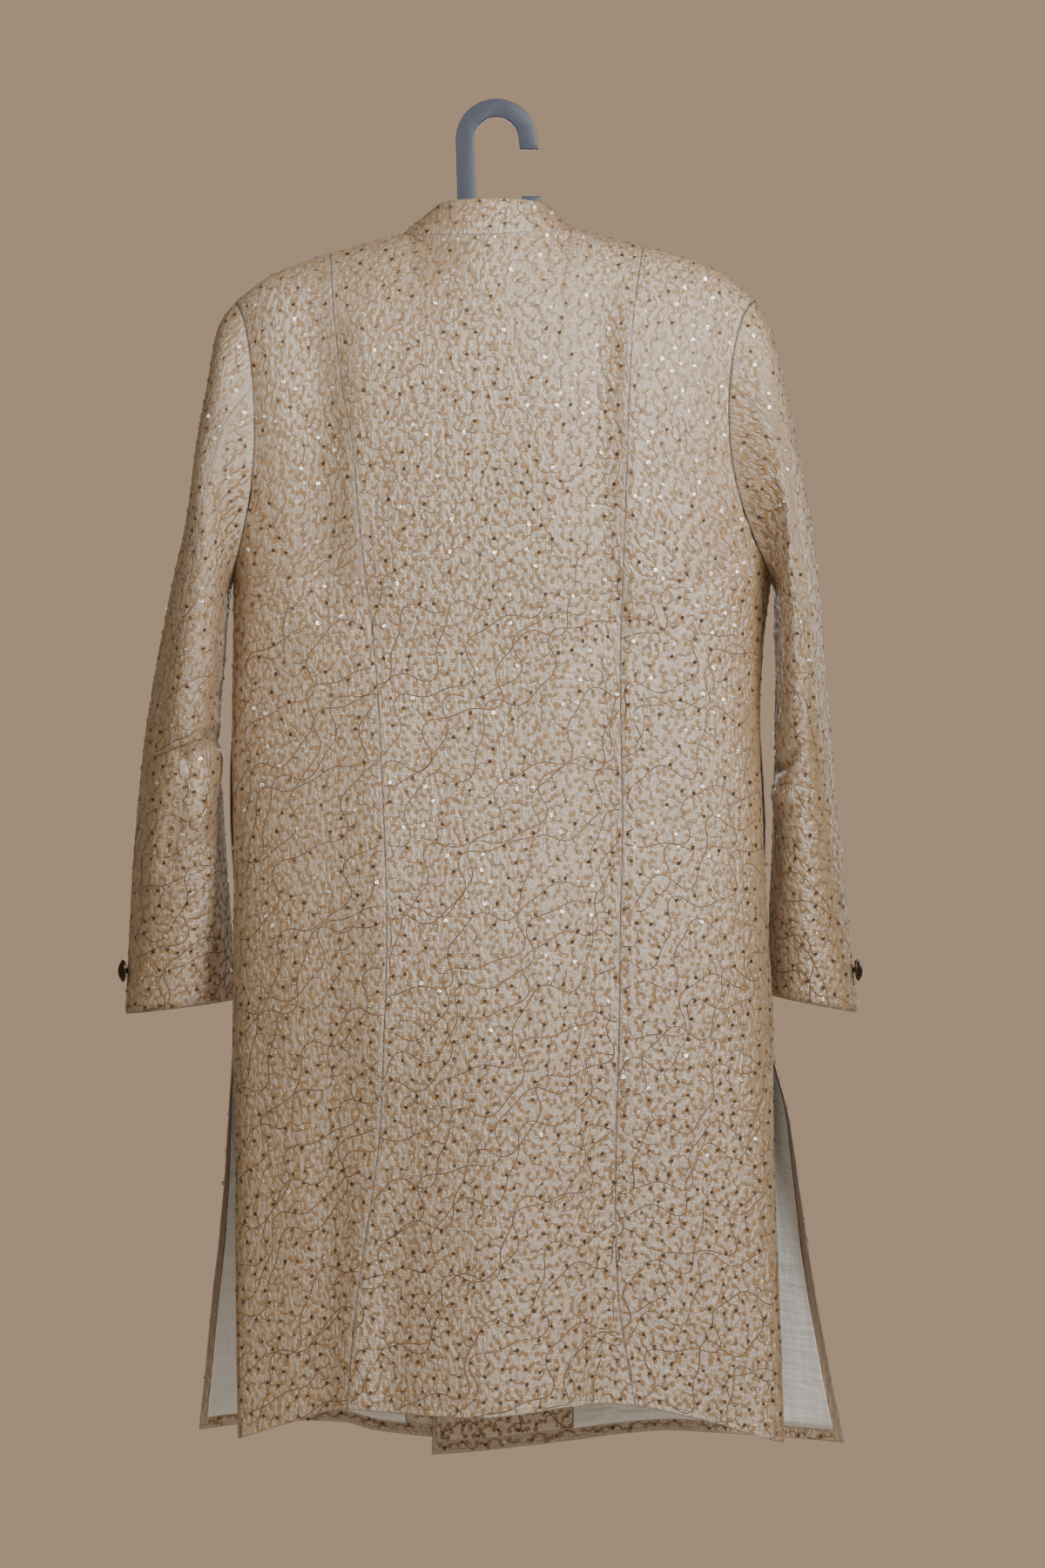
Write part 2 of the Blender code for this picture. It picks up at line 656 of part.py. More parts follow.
def body_panel(name, face, side, places, levels, outer, inner, look, parts, trims=(0, 0)):
    """A panel between two depths in the cloth. A trim of 1 leaves a seam gap beside that edge."""
    grids = []
    for depth in (outer, inner):
        rows = []
        for level in levels:
            row = list(places)
            row[0] += trims[0] * seam_trim(face, side, row[0], level) if trims[0] else 0
            row[-1] -= trims[1] * seam_trim(face, side, row[-1], level) if trims[1] else 0
            rows.append([body_skin(face, side, across, level, depth) for across in row])
        grids.append(rows)
    return wall(name, grids[0], grids[1], look, parts)


def make_back(parts):
    levels = body_levels()
    neck = [2 + (1 - math.cos(math.pi * i / NECK_STEPS)) / 2 for i in range(NECK_STEPS + 1)]
    centre = spaced(1, 2, 4) + neck[1:] + spaced(3, 4, 4)[1:]
    body_panel("back_centre", "back", 1, centre, levels, 0, SHELL_WALL, RAW_SILK, parts, (1, 1))
    left, right = spaced(0, 1, 9), spaced(4, 5, 9)
    body_panel("back_side_left", "back", 1, left, levels, 0, SHELL_WALL, RAW_SILK, parts, (0, 1))
    body_panel("back_side_right", "back", 1, right, levels, 0, SHELL_WALL, RAW_SILK, parts, (1, 0))


def front_places():
    """The columns of a front: from its side to the neck's corner, and on to its free edge."""
    lap_width = NECK_HALF_WIDTH + FRONT_EXTENSION
    turns = [math.pi * i / NECK_STEPS for i in range(NECK_STEPS // 2 + 1)]
    to_edge = [1 + NECK_HALF_WIDTH * (1 - math.cos(turn)) / lap_width for turn in turns]
    return [0, TURNED_EDGE_PLACE] + spaced(0.1, 0.9, 8) + to_edge + [2]


def make_fronts(parts):
    for side, word in ((1, "left"), (-1, "right")):
        body_panel("front_" + word, "front", side, front_places(), body_levels(),
                   0, SHELL_WALL, RAW_SILK, parts)


def make_facings_and_linings(parts):
    outer, inner = SHELL_WALL + LAYER_GAP, SHELL_WALL + LAYER_GAP + LINING_WALL
    foot = 2 - LINING_RISE / (UNDERARM_Z - HEM_Z)
    facing_levels = body_levels()[3:-1] + [foot]
    lining_levels = [level for level in facing_levels if level >= level_of(LINING_TOP_Z)]
    places = front_places()
    facing_places = [place for place in places if 1 <= place < 2] + [1.975]
    lining_places = [place for place in places if TURNED_EDGE_PLACE <= place < 1] + [0.997]
    for side, word in ((1, "left"), (-1, "right")):
        body_panel("front_facing_" + word, "front", side, facing_places, facing_levels,
                   outer, inner, RAW_SILK, parts)
        body_panel("front_lining_" + word, "front", side, lining_places, lining_levels,
                   outer, inner, SATIN, parts)


def sleeve_columns(layer, ring):
    """The angles of a sleeve piece's columns, between its two seams and half a gap inside them."""
    back_seam = smooth(ring, range(len(BACK_SEAM_ANGLES)), BACK_SEAM_ANGLES)
    if layer == "top":
        columns, start, end = TOP_SLEEVE_ANGLES, FRONT_SEAM_ANGLE - 360, back_seam
    else:
        columns, start, end = UNDER_SLEEVE_ANGLES, back_seam, FRONT_SEAM_ANGLE
    trim = math.degrees(SEAM_GAP / 2 / ARM_RADIUS)
    shares = [(angle - columns[0]) / (columns[-1] - columns[0]) for angle in columns]
    return [between(start + trim, end - trim, share) for share in shares]


def make_sleeves(parts):
    last_ring = len(SLEEVE_LEFT) - 1
    rings = [last_ring * i / SLEEVE_ROWS for i in range(SLEEVE_ROWS + 1)]
    for side, word in ((1, "left"), (-1, "right")):
        for layer in ("top", "under"):
            grids = []
            for depth in (0, SHELL_WALL):
                rows = []
                for ring in rings:
                    angles = sleeve_columns(layer, ring)
                    row = [sleeve_skin(side, ring, angle, depth) for angle in angles]
                    if ring == 0:
                        row = [point + Vector((side * SEAM_GAP / 2, 0, 0)) for point in row]
                    rows.append(row)
                grids.append(rows)
            wall(f"sleeve_{word}_{layer}", grids[0], grids[1], RAW_SILK, parts)


def make_collar(parts):
    """A stand collar from the neck seam up, leaning in, with its ends together at the front."""
    opening = math.degrees(COLLAR_OPENING / 2 / NECK_HALF_WIDTH)
    angles = spaced(-90, 270, 2 * NECK_STEPS)
    angles[0] += opening
    angles[-1] -= opening
    rows_out, rows_in = [], []
    for i in range(COLLAR_ROWS + 1):
        share = i / COLLAR_ROWS
        row_out, row_in = [], []
        for angle in angles:
            turn = math.radians(angle)
            foot_x = NECK_X + NECK_HALF_WIDTH * math.cos(turn)
            face = "back" if math.sin(turn) > 0 else "front"
            foot_y, foot_z = top_of(face, min(max(foot_x, corner_x(-1) + 0.01), corner_x(1) - 0.01))
            way = 1 if face == "back" else -1
            foot = Vector((foot_x, way * (foot_y + SEAM_GAP / 2), foot_z + COLLAR_GAP))
            if face == "front" and math.cos(turn) > 0:
                foot += lap_lift(foot_x, 0)
            top_y = (COLLAR_TOP_BACK_Y if way > 0 else COLLAR_TOP_FRONT_Y) * abs(math.sin(turn))
            drop = COLLAR_TOP_FRONT_DROP * abs(math.sin(turn)) ** NECK_FRONT_POWER if way < 0 else 0
            top = Vector((COLLAR_TOP_X + COLLAR_TOP_HALF_WIDTH * math.cos(turn),
                          way * top_y, COLLAR_TOP_Z - drop))
            point = foot.lerp(top, share)
            stands = ease(share * 2)
            out = Vector((math.cos(turn), math.sin(turn), COLLAR_LEAN))
            normal = neck_normal(foot.x, foot.y).lerp(out, stands).normalized()
            row_out.append(point)
            row_in.append(point - normal * between(SHELL_WALL, COLLAR_WALL, stands))
        rows_out.append(row_out)
        rows_in.append(row_in)
    wall("collar", rows_out, rows_in, RAW_SILK, parts)


def make_button(name, seat, normal, parts):
    """A domed shank button, turned from its profile, just clear of the cloth."""
    shape = bmesh.new()
    points = [shape.verts.new(Vector((place.radius, 0, place.height)) * MM) for place in BUTTON_PROFILE]
    for first, second in zip(points, points[1:]):
        shape.edges.new((first, second))
    button = add_object(name, shape, ANTIQUE_METAL, parts)
    turn = button.modifiers.new("turned", "SCREW")
    turn.steps = BUTTON_STEPS
    turn.render_steps = BUTTON_STEPS
    turn.use_merge_vertices = True
    turn.merge_threshold = 0.00001
    turn.use_normal_calculate = True
    button.location = (seat + normal * BUTTON_CLEARANCE) * MM
    button.rotation_euler = normal.to_track_quat("Z", "Y").to_euler()


def make_buttons(parts):
    for i in range(FRONT_BUTTON_COUNT):
        z = FRONT_BUTTON_TOP_Z - i * FRONT_BUTTON_SPACING
        across, level = front_place(NECK_X, z)
        seat = body_skin("front", 1, across, level, 0)
        normal = (seat - body_skin("front", 1, across, level, 1)).normalized()
        make_button(f"front_button_{i + 1}", seat, normal, parts)
    for side, word in ((1, "left"), (-1, "right")):
        seat = sleeve_skin(side, CUFF_BUTTON_RING, CUFF_BUTTON_ANGLE, 0)
        normal = (seat - sleeve_skin(side, CUFF_BUTTON_RING, CUFF_BUTTON_ANGLE, 1)).normalized()
        make_button("cuff_button_" + word, seat, normal, parts)


def front_place(x, z):
    """The place across and the level of a point on the left front's lap."""
    low, high = 0.0, 2.0
    for _ in range(30):
        level = (low + high) / 2
        across = 1 + (corner_x(1) - x) / (corner_x(1) - lap_edge_x(1, level))
        if body_point("front", 1, across, level).z > z:
            low = level
        else:
            high = level
    return across, level


def hook_outline():
    """The flat hook with its long upright, the bridge and the short upright, as one outline."""
    centre_z = -HOOK_INNER_RADIUS
    left, right = UPRIGHT_LEFT_X + UPRIGHT_WIDTH / 2, UPRIGHT_LEFT_X - UPRIGHT_WIDTH / 2
    stub_left, stub_right = STUB_X + UPRIGHT_WIDTH / 2, STUB_X - UPRIGHT_WIDTH / 2
    points = [(-HOOK_OUTER_RADIUS - TIP_FLARE_OUTER, HOOK_TIP_Z)]
    for turn in spaced(math.pi, 0, HOOK_STEPS_OUTER):
        points.append((HOOK_OUTER_RADIUS * math.cos(turn), centre_z + HOOK_OUTER_RADIUS * math.sin(turn)))
    points += [(left, UPRIGHT_EASE_Z), (left, BRIDGE_FOOT_Z), (stub_right, BRIDGE_FOOT_Z),
               (stub_right, STUB_TOP_Z), (stub_left, STUB_TOP_Z), (stub_left, BRIDGE_TOP_Z),
               (right, BRIDGE_TOP_Z), (right, UPRIGHT_EASE_Z)]
    for turn in spaced(0, math.pi, HOOK_STEPS_INNER):
        points.append((HOOK_INNER_RADIUS * math.cos(turn), centre_z + HOOK_INNER_RADIUS * math.sin(turn)))
    points.append((-HOOK_INNER_RADIUS - TIP_FLARE_INNER, HOOK_TIP_Z))
    return points


def make_hook_plate(parts):
    curve = bpy.data.curves.new("hook_outline", "CURVE")
    curve.dimensions = "2D"
    curve.fill_mode = "BOTH"
    curve.extrude = HOOK_THICKNESS / 2 * MM
    points = hook_outline()
    spline = curve.splines.new("POLY")
    spline.points.add(len(points) - 1)
    for point, (x, z) in zip(spline.points, points):
        point.co = (x * MM, z * MM, 0, 1)
    spline.use_cyclic_u = True
    outline = bpy.data.objects.new("hook_outline", curve)
    outline.rotation_euler.x = math.pi / 2
    parts.objects.link(outline)
    bpy.context.view_layer.update()
    graph = bpy.context.evaluated_depsgraph_get()
    mesh = bpy.data.meshes.new_from_object(outline.evaluated_get(graph))
    shape = bmesh.new()
    shape.from_mesh(mesh)
    bmesh.ops.remove_doubles(shape, verts=shape.verts[:], dist=0.01 * MM)
    bmesh.ops.transform(shape, matrix=outline.matrix_world, verts=shape.verts[:])
    bmesh.ops.recalc_face_normals(shape, faces=shape.faces[:])
    bpy.data.objects.remove(outline)
    bpy.data.meshes.remove(mesh)
    return add_object("hanger", shape, SLATE_PLASTIC, parts)


def arm_section(side, share):
    """A ring of points round a hanger arm, whose top lies just under the coat's shoulder."""
    inner_x = corner_x(side) + side * ARM_INNER_GAP
    tip_x = side_x("back", side, 0) - side * ARM_TIP_GAP
    x = between(inner_x, tip_x, share)
    height = between(ARM_HEIGHT_INNER, ARM_HEIGHT_TIP, share)
    depth = SHELL_WALL + ARM_GAP
    ring = []
    for degrees in ARM_ANGLES:
        level = abs(degrees) / 180
        face = "back" if degrees >= 0 else "front"
        across = shoulder_place(face, side, x, level)
        ring.append(body_skin(face, side, across, level, depth))
    foot_z = ring[2].z - height
    half = abs(ring[0].y) * ARM_FOOT_SHARE
    ring += [Vector((x, half, foot_z)), Vector((x, -half, foot_z))]
    return ring


def shoulder_place(face, side, x, level):
    """The place across at which a shoulder's column has a given x."""
    if face == "front":
        low, high = 0.001, 1.0
    elif side > 0:
        low, high = 0.001, 2.0
    else:
        low, high = 4.999, 3.0
    for _ in range(30):
        middle = (low + high) / 2
        if abs(body_x(face, side, middle, level)) > abs(x):
            low = middle
        else:
            high = middle
    return (low + high) / 2


def middle_section(x):
    """A ring of points round the middle of the moulding, with as many points as an arm's."""
    ring = []
    for share in spaced(-1, 1, len(ARM_ANGLES) - 1):
        ring.append(Vector((x, MIDDLE_HALF_WIDTH * share, MIDDLE_TOP_Z - MIDDLE_CROWN * share * share)))
    half, foot_z = MIDDLE_HALF_WIDTH * MIDDLE_FOOT_SHARE, MIDDLE_TOP_Z - MIDDLE_HEIGHT
    return ring + [Vector((x, half, foot_z)), Vector((x, -half, foot_z))]


def make_hanger(parts, cutters):
    """One moulding: broad arms under the shoulders, two uprights and a flat hook."""
    sections = [arm_section(-1, share) for share in spaced(1, 0, ARM_STATIONS)]
    sections += [middle_section(x) for x in MIDDLE_PLACES_X]
    sections += [arm_section(1, share) for share in spaced(0, 1, ARM_STATIONS)]
    shape = bmesh.new()
    rings = [[shape.verts.new(point * MM) for point in section] for section in sections]
    for ring, after in zip(rings, rings[1:]):
        for i in range(len(ring)):
            j = (i + 1) % len(ring)
            shape.faces.new((ring[i], ring[j], after[j], after[i]))
    shape.faces.new(rings[0])
    shape.faces.new(rings[-1])
    bmesh.ops.recalc_face_normals(shape, faces=shape.faces[:])
    arms = add_object("hanger_arms", shape, SLATE_PLASTIC, cutters)
    arms.hide_render = True
    arms.display_type = "WIRE"
    plate = make_hook_plate(parts)
    join = plate.modifiers.new("arms", "BOOLEAN")
    join.operation = "UNION"
    join.solver = "EXACT"
    join.object = arms


def main():
    for obj in list(bpy.data.objects):
        bpy.data.objects.remove(obj)
    parts = bpy.data.collections.new("sherwani_coat_on_hanger")
    cutters = bpy.data.collections.new("cutters")
    bpy.context.scene.collection.children.link(parts)
    bpy.context.scene.collection.children.link(cutters)
    make_back(parts)
    make_fronts(parts)
    make_facings_and_linings(parts)
    make_sleeves(parts)
    make_collar(parts)
    make_buttons(parts)
    make_hanger(parts, cutters)


main()
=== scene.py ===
import math
from collections import namedtuple

import bpy
import numpy as np
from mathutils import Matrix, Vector, kdtree


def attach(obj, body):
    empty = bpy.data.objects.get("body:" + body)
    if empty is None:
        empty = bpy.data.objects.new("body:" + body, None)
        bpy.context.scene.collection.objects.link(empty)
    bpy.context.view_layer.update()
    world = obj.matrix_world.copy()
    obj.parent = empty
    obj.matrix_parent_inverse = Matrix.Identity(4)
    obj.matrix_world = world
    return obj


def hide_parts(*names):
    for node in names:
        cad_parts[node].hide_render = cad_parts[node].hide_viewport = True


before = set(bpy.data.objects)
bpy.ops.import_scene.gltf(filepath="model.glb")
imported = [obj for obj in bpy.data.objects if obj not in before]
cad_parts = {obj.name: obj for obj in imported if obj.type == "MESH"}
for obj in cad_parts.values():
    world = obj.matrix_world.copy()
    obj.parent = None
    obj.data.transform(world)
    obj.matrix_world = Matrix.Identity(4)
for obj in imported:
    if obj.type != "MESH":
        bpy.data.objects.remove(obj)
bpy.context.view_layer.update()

# Sizes are in millimetres, as a tailor gives them, and become metres where a mesh is built.
MM = 0.001

# === Studio ==================================================================================
# A level camera looks at the coat's back from 3.2 m away. A soft box over its right shoulder
# lights it, with weaker ones on its left and from below. Two more light its front, and a pale
# floor lies well below the hem.

CAMERA_PLACE = (-0.0237, 3.2, -0.6047)
LENS, SENSOR_HEIGHT = 81.0, 36.0
FLOOR_Z, FLOOR_RADIUS = -1.95, 2.2


def add_object(name, data, place=(0, 0, 0)):
    """Puts new data in the scene."""
    added = bpy.data.objects.new(name, data)
    added.location = place
    bpy.context.scene.collection.objects.link(added)
    return added


def new_material(name, constants):
    """A material whose shader holds these constants, with its node tree and the shader."""
    material = bpy.data.materials.new(name)
    material.use_nodes = True
    shader = material.node_tree.nodes["Principled BSDF"]
    for word, value in constants.items():
        shader.inputs[word].default_value = value
    return material, material.node_tree, shader


camera_data = bpy.data.cameras.new("camera")
camera_data.sensor_fit = "VERTICAL"
camera_data.sensor_height = SENSOR_HEIGHT
camera_data.lens = LENS
camera = add_object("camera", camera_data, CAMERA_PLACE)
camera.rotation_euler = (math.pi / 2, 0, math.pi)
bpy.context.scene.camera = camera

WHITE = (1.0, 1.0, 1.0)
SoftBox = namedtuple("SoftBox", "name place aim size watts colour")
SOFT_BOXES = (
    SoftBox("key_light", (-1.1, 1.5, 0.58), (0, 0, -0.35), 0.6, 55, WHITE),
    SoftBox("side_light", (1.0, 1.0, 0.3), (0.25, 0, -0.5), 0.5, 7, WHITE),
    SoftBox("low_fill", (0.3, 2.4, -1.6), (0, 0, -1.2), 0.5, 7, (1.0, 0.88, 0.74)),
    SoftBox("front_key", (0.0, -2.3, 0.1), (0, 0, -0.55), 0.6, 26, WHITE),
    SoftBox("front_side_light", (-1.6, -1.7, -0.3), (0, 0, -0.55), 0.6, 5, WHITE),
)
for box in SOFT_BOXES:
    light = bpy.data.lights.new(box.name, "AREA")
    light.size = box.size
    light.energy = box.watts
    light.color = box.colour
    lamp = add_object(box.name, light, box.place)
    lamp.rotation_euler = (Vector(box.aim) - Vector(box.place)).to_track_quat("-Z", "Y").to_euler()

# The air looks tan behind the coat, and lights it less than it looks.
world = bpy.data.worlds.new("studio_air")
world.use_nodes = True
air = world.node_tree
seen, lit = air.nodes["Background"], air.nodes.new("ShaderNodeBackground")
for glow, colour, strength in ((seen, (0.42, 0.3, 0.2, 1), 0.95), (lit, (0.5, 0.38, 0.24, 1), 0.3)):
    glow.inputs["Color"].default_value = colour
    glow.inputs["Strength"].default_value = strength
either = air.nodes.new("ShaderNodeMixShader")
air.links.new(air.nodes.new("ShaderNodeLightPath").outputs["Is Camera Ray"], either.inputs[0])
air.links.new(lit.outputs[0], either.inputs[1])
air.links.new(seen.outputs[0], either.inputs[2])
air.links.new(either.outputs[0], air.nodes["World Output"].inputs["Surface"])
bpy.context.scene.world = world

bpy.ops.object.select_all(action="DESELECT")
bpy.ops.mesh.primitive_circle_add(
    vertices=96, radius=FLOOR_RADIUS, fill_type="NGON", location=(0, 0, FLOOR_Z))
floor = bpy.context.object
floor.name = "floor"
bpy.ops.object.transform_apply(location=True, rotation=True, scale=True)
floor.data.materials.append(
    new_material("pale_floor", {"Base Color": (0.62, 0.56, 0.5, 1), "Roughness": 0.7})[0])

# === The coat's cut ==========================================================================
# These tables give the coat's outline, its sections and the folds it hangs in, as its cutter has
# them, and the functions after them give any place on its outside.

SEAM_GAP = 0.36
UNDERARM_Z, SLIT_TOP_Z, HEM_Z = -420.0, -838.0, -1190.0
POCKET_TOP_Z, POCKET_FOOT_Z, POCKET_GAPE, POCKET_ROUNDING = -558.0, -690.0, 3.2, 0.7
NECK_X, NECK_HALF_WIDTH = 7.0, 78.0
NECK_BACK_Y, NECK_FRONT_Y = 48.0, 58.0
NECK_BACK_DROP, NECK_FRONT_DROP, NECK_FRONT_POWER = 9.0, 60.0, 1.6
NECK_SWELL_LEVEL, NECK_SWELL_POWER = 0.12, 1.5
NECK_LEAN_OUT, NECK_LEAN_UP = 0.6, 0.8
FRONT_EXTENSION = 22.0
LAP_LIFT, LAP_END_X, LAP_EASE_WIDTH, LAP_TOP_LEAN, LAP_LEAN_LEVEL = 4.0, 122.0, 50.0, 37.0, 0.3
BODY_FULLNESS, SKIRT_FULLNESS, SKIRT_ROOT, SKIRT_SPREAD = 2.3, 1.6, 0.8, 1.5
ARMHOLE_HALF_DEPTH, ARMHOLE_BLEND, ARMHOLE_TILT = 50.0, 38.0, 0.45
FRONT_SCOOP, UPPER_SCOOP_POWER, LOWER_SCOOP_POWER = 1.2, 1.3, 2.2
LAP_EDGE_LEFT_X, LAP_EDGE_RIGHT_X = -31.0, 61.0

Point = namedtuple("Point", "x z")
SHOULDER_LEFT = [Point(*p) for p in (
    (85, -106), (126, -116.5), (170, -129.5), (204, -143), (220, -154), (237, -168),
)]
SHOULDER_RIGHT = [Point(*p) for p in (
    (-236, -166), (-218, -151), (-203, -140), (-172, -127), (-122, -114.5), (-71, -101.5),
)]
HEM_BACK = [Point(*p) for p in (
    (-260, -1198), (-224, -1187), (-194, -1177), (-131, -1162), (-70, -1159),
    (9, -1165.5), (88, -1165), (137, -1163.5), (186, -1178), (236, -1195),
)]
HEM_FRONT_LEFT = [Point(*p) for p in (
    (-31, -1219), (64, -1213), (114, -1205), (143, -1195.5), (218, -1193.5), (273, -1196),
)]
HEM_FRONT_RIGHT = [Point(*p) for p in (
    (-319, -1208), (-266, -1207), (-210, -1205.5), (-158, -1205.5),
    (-108, -1209.5), (-70, -1217), (15, -1227), (61, -1229.5),
)]
Depth = namedtuple("Depth", "z back front")
DEPTHS = [Depth(*p) for p in (
    (-1190, 46, 94), (-1070, 52, 92), (-950, 61, 88), (-845, 71, 85), (-750, 74, 80),
    (-620, 69, 74), (-500, 70, 77), (-420, 76, 84), (-300, 82, 89), (-200, 79, 86), (-100, 70, 78),
)]
SideEdge = namedtuple("SideEdge", "z back_left back_right back_y front_left front_right front_y")
SIDE_EDGES = [SideEdge(*p) for p in (
    (-1190, 235, -260, 20, 273, -319, 32),
    (-1130, 236, -258, 18, 266.5, -306.5, 27),
    (-1070, 236.5, -256, 15, 260.5, -295, 22),
    (-1010, 237, -254, 12, 253.5, -284.5, 17),
    (-950, 237, -252, 9, 248, -275, 12),
    (-890, 238.5, -251, 5, 244, -265, 6),
    (-838, 240, -251, 0, 240, -251, 0),
    (-800, 239.5, -250, 0, 239.5, -250, 0),
    (-750, 238.5, -247, 0, 238.5, -247, 0),
    (-690, 238, -243.5, 0, 238, -243.5, 0),
    (-620, 239, -241, 0, 239, -241, 0),
    (-560, 239.5, -239, 0, 239.5, -239, 0),
    (-500, 239, -240.5, 0, 239, -240.5, 0),
    (-460, 238.5, -244, 0, 238.5, -244, 0),
    (-420, 238.5, -249, 0, 238.5, -249, 0),
)]
PrincessSeam = namedtuple("PrincessSeam", "z left right")
PRINCESS_SEAMS = [PrincessSeam(*p) for p in (
    (-1190, 133, -125), (-1110, 126, -111), (-1045, 118, -107), (-955, 105, -106.5), (-840, 98.5, -109),
    (-740, 96.5, -110), (-640, 99.5, -112), (-500, 107.5, -110), (-380, 121, -114), (-295, 128.5, -117),
    (-248, 138, -119), (-187, 145, -123), (-122, 150, -133),
)]

# A fold runs from its top to its foot, and dies away past them. A positive rise stands out.
Fold = namedtuple("Fold", "top_x top_z foot_x foot_z width top_rise foot_rise")
FOLD_END = 40.0
BACK_FOLDS = [Fold(*p) for p in (
    (5, -560, 5, -1200, 92, 0, 38),
    (-100, -170, -111, -460, 25, -6, -8),
    (-110, -460, -114, -1200, 23, -5, -9),
    (157, -220, 150, -410, 33, -5, -6),
    (108, -340, 113, -440, 14, -4, -3),
    (118, -880, 124, -1200, 17, 0, 6),
)]
FRONT_FOLDS = [Fold(*p) for p in (
    (150, -640, 150, -1220, 34, 0, -7),
    (-96, -700, -112, -1220, 30, 0, -8),
    (-205, -860, -222, -1220, 30, 0, -5),
)]


def curve(places, values, at):
    """The smooth curve through a table's column, level past its ends."""
    places, values, at = (np.asarray(row, float) for row in (places, values, at))
    last = len(places) - 1
    low, high = np.maximum(np.arange(last + 1) - 1, 0), np.minimum(np.arange(last + 1) + 1, last)
    slopes = (values[high] - values[low]) / (places[high] - places[low])
    at = np.clip(at, places[0], places[-1])
    i = np.clip(np.searchsorted(places, at, side="right") - 1, 0, last - 1)
    step, rise = places[i + 1] - places[i], values[i + 1] - values[i]
    u = (at - places[i]) / step
    bend = (3 * rise - (2 * slopes[i] + slopes[i + 1]) * step) * u**2
    return values[i] + slopes[i] * step * u + bend + ((slopes[i] + slopes[i + 1]) * step - 2 * rise) * u**3


def column(table, by, name, at):
    return curve([getattr(row, by) for row in table], [getattr(row, name) for row in table], at)


def between(low, high, share):
    return low + (high - low) * share


def ease(amount):
    """0 to 1 along an S-shaped curve, held outside that range."""
    amount = np.clip(amount, 0, 1)
    return amount * amount * (3 - 2 * amount)


# Each row is a ring round a sleeve, from the armhole to the cuff. An angle runs in degrees from
# the sleeve's outer edge to its back.
SleeveRing = namedtuple("SleeveRing", "outer_x outer_z inner_x inner_z y half_depth scoop")
SLEEVE_LEFT = [SleeveRing(*p) for p in (
    (237, -168, 238.5, -420, 0, 50, 22),
    (253, -192, 242.5, -431, 0, 60, 10),
    (261, -241, 244, -447, 0, 67, 2),
    (270, -289, 246, -472, 0, 72, 0),
    (280, -360, 248.5, -506, -3, 75, 0),
    (295, -430, 252, -543, -8, 75, 0),
    (310, -502, 252.5, -582, -16, 71, 0),
    (323, -579, 250.5, -629, -28, 63, 0),
    (332.5, -661, 247, -693, -42, 54, 0),
    (338.5, -737, 244, -752, -54, 46, 0),
    (343, -816.5, 242.5, -804, -62, 38, 0),
)]
SLEEVE_RIGHT = [SleeveRing(*p) for p in (
    (-236, -166, -249, -420, 0, 50, 34),
    (-249, -192, -253.5, -430, 0, 60, 10),
    (-260.5, -242, -254.5, -446, 0, 67, 2),
    (-270, -289, -254, -472, 0, 72, 0),
    (-283.5, -359.5, -254.5, -506, -3, 75, 0),
    (-292, -424, -254, -543, -8, 75, 0),
    (-298.5, -501.5, -254, -582, -16, 71, 0),
    (-306, -579, -253.5, -629, -28, 63, 0),
    (-316, -661, -252, -693, -42, 54, 0),
    (-324, -737, -251, -752, -54, 46, 0),
    (-333.5, -815, -251.5, -799.5, -62, 38, 0),
)]


def sleeve_point(side, ring, angle):
    """Points of a sleeve's outside."""
    table = SLEEVE_LEFT if side > 0 else SLEEVE_RIGHT
    ring, turn = np.broadcast_arrays(np.asarray(ring, float), np.radians(angle))
    outer_x, outer_z, inner_x, inner_z, middle_y, half_depth, scoop = (
        curve(range(len(table)), [getattr(row, name) for row in table], ring) for name in SleeveRing._fields
    )
    scoop = scoop * np.where(np.sin(turn) < 0, FRONT_SCOOP, 1)
    lean = np.cos(turn) / 2
    x = (outer_x + inner_x) / 2 + (outer_x - inner_x) * lean
    z = (outer_z + inner_z) / 2 + (outer_z - inner_z) * lean
    power = np.where(np.cos(turn) > 0, UPPER_SCOOP_POWER, LOWER_SCOOP_POWER)
    x = x - side * scoop * np.abs(np.sin(turn)) ** power
    return np.stack((x, middle_y + half_depth * np.sin(turn), z), -1)


# A level runs from 0 at the shoulder to 1 at the underarm and 2 at the hem. A place across the
# back runs from 0 at its left side through the seams and the neck's corners to 5 at its right
# side, and across a front from 0 at its side through the neck's corner at 1 to its edge at 2.


def lower_z(level):
    return UNDERARM_Z + (HEM_Z - UNDERARM_Z) * (np.maximum(level, 1) - 1)


def level_of(z):
    return 1 + (z - UNDERARM_Z) / (HEM_Z - UNDERARM_Z)


def side_x(face, side, level):
    angle = np.degrees(np.pi * np.minimum(level, 1)) * (1 if face == "back" else -1)
    z = lower_z(level)
    reach = np.clip((z - POCKET_FOOT_Z) / (POCKET_TOP_Z - POCKET_FOOT_Z), 0, 1)
    gape = POCKET_GAPE * np.abs(np.sin(np.pi * reach)) ** POCKET_ROUNDING if face == "front" else 0
    lower = column(SIDE_EDGES, "z", f"{face}_{'left' if side > 0 else 'right'}", z) + side * gape
    return np.where(level <= 1, sleeve_point(side, 0, angle)[..., 0], lower)


def corner_x(side):
    return NECK_X + side * NECK_HALF_WIDTH


def seam_x(side, level):
    top = PRINCESS_SEAMS[-1].z
    upper = top + (UNDERARM_Z - top) * (1 - np.cos(np.pi * np.minimum(level, 1))) / 2
    z = np.where(level > 1, lower_z(level), upper)
    return column(PRINCESS_SEAMS, "z", "left" if side > 0 else "right", z)


def lap_edge_x(side, level):
    foot = LAP_EDGE_LEFT_X if side > 0 else LAP_EDGE_RIGHT_X
    top = NECK_X - side * FRONT_EXTENSION
    return top + (foot - top) * level / 2


def down_slit(z):
    return (SLIT_TOP_Z - z) / (SLIT_TOP_Z - HEM_Z)


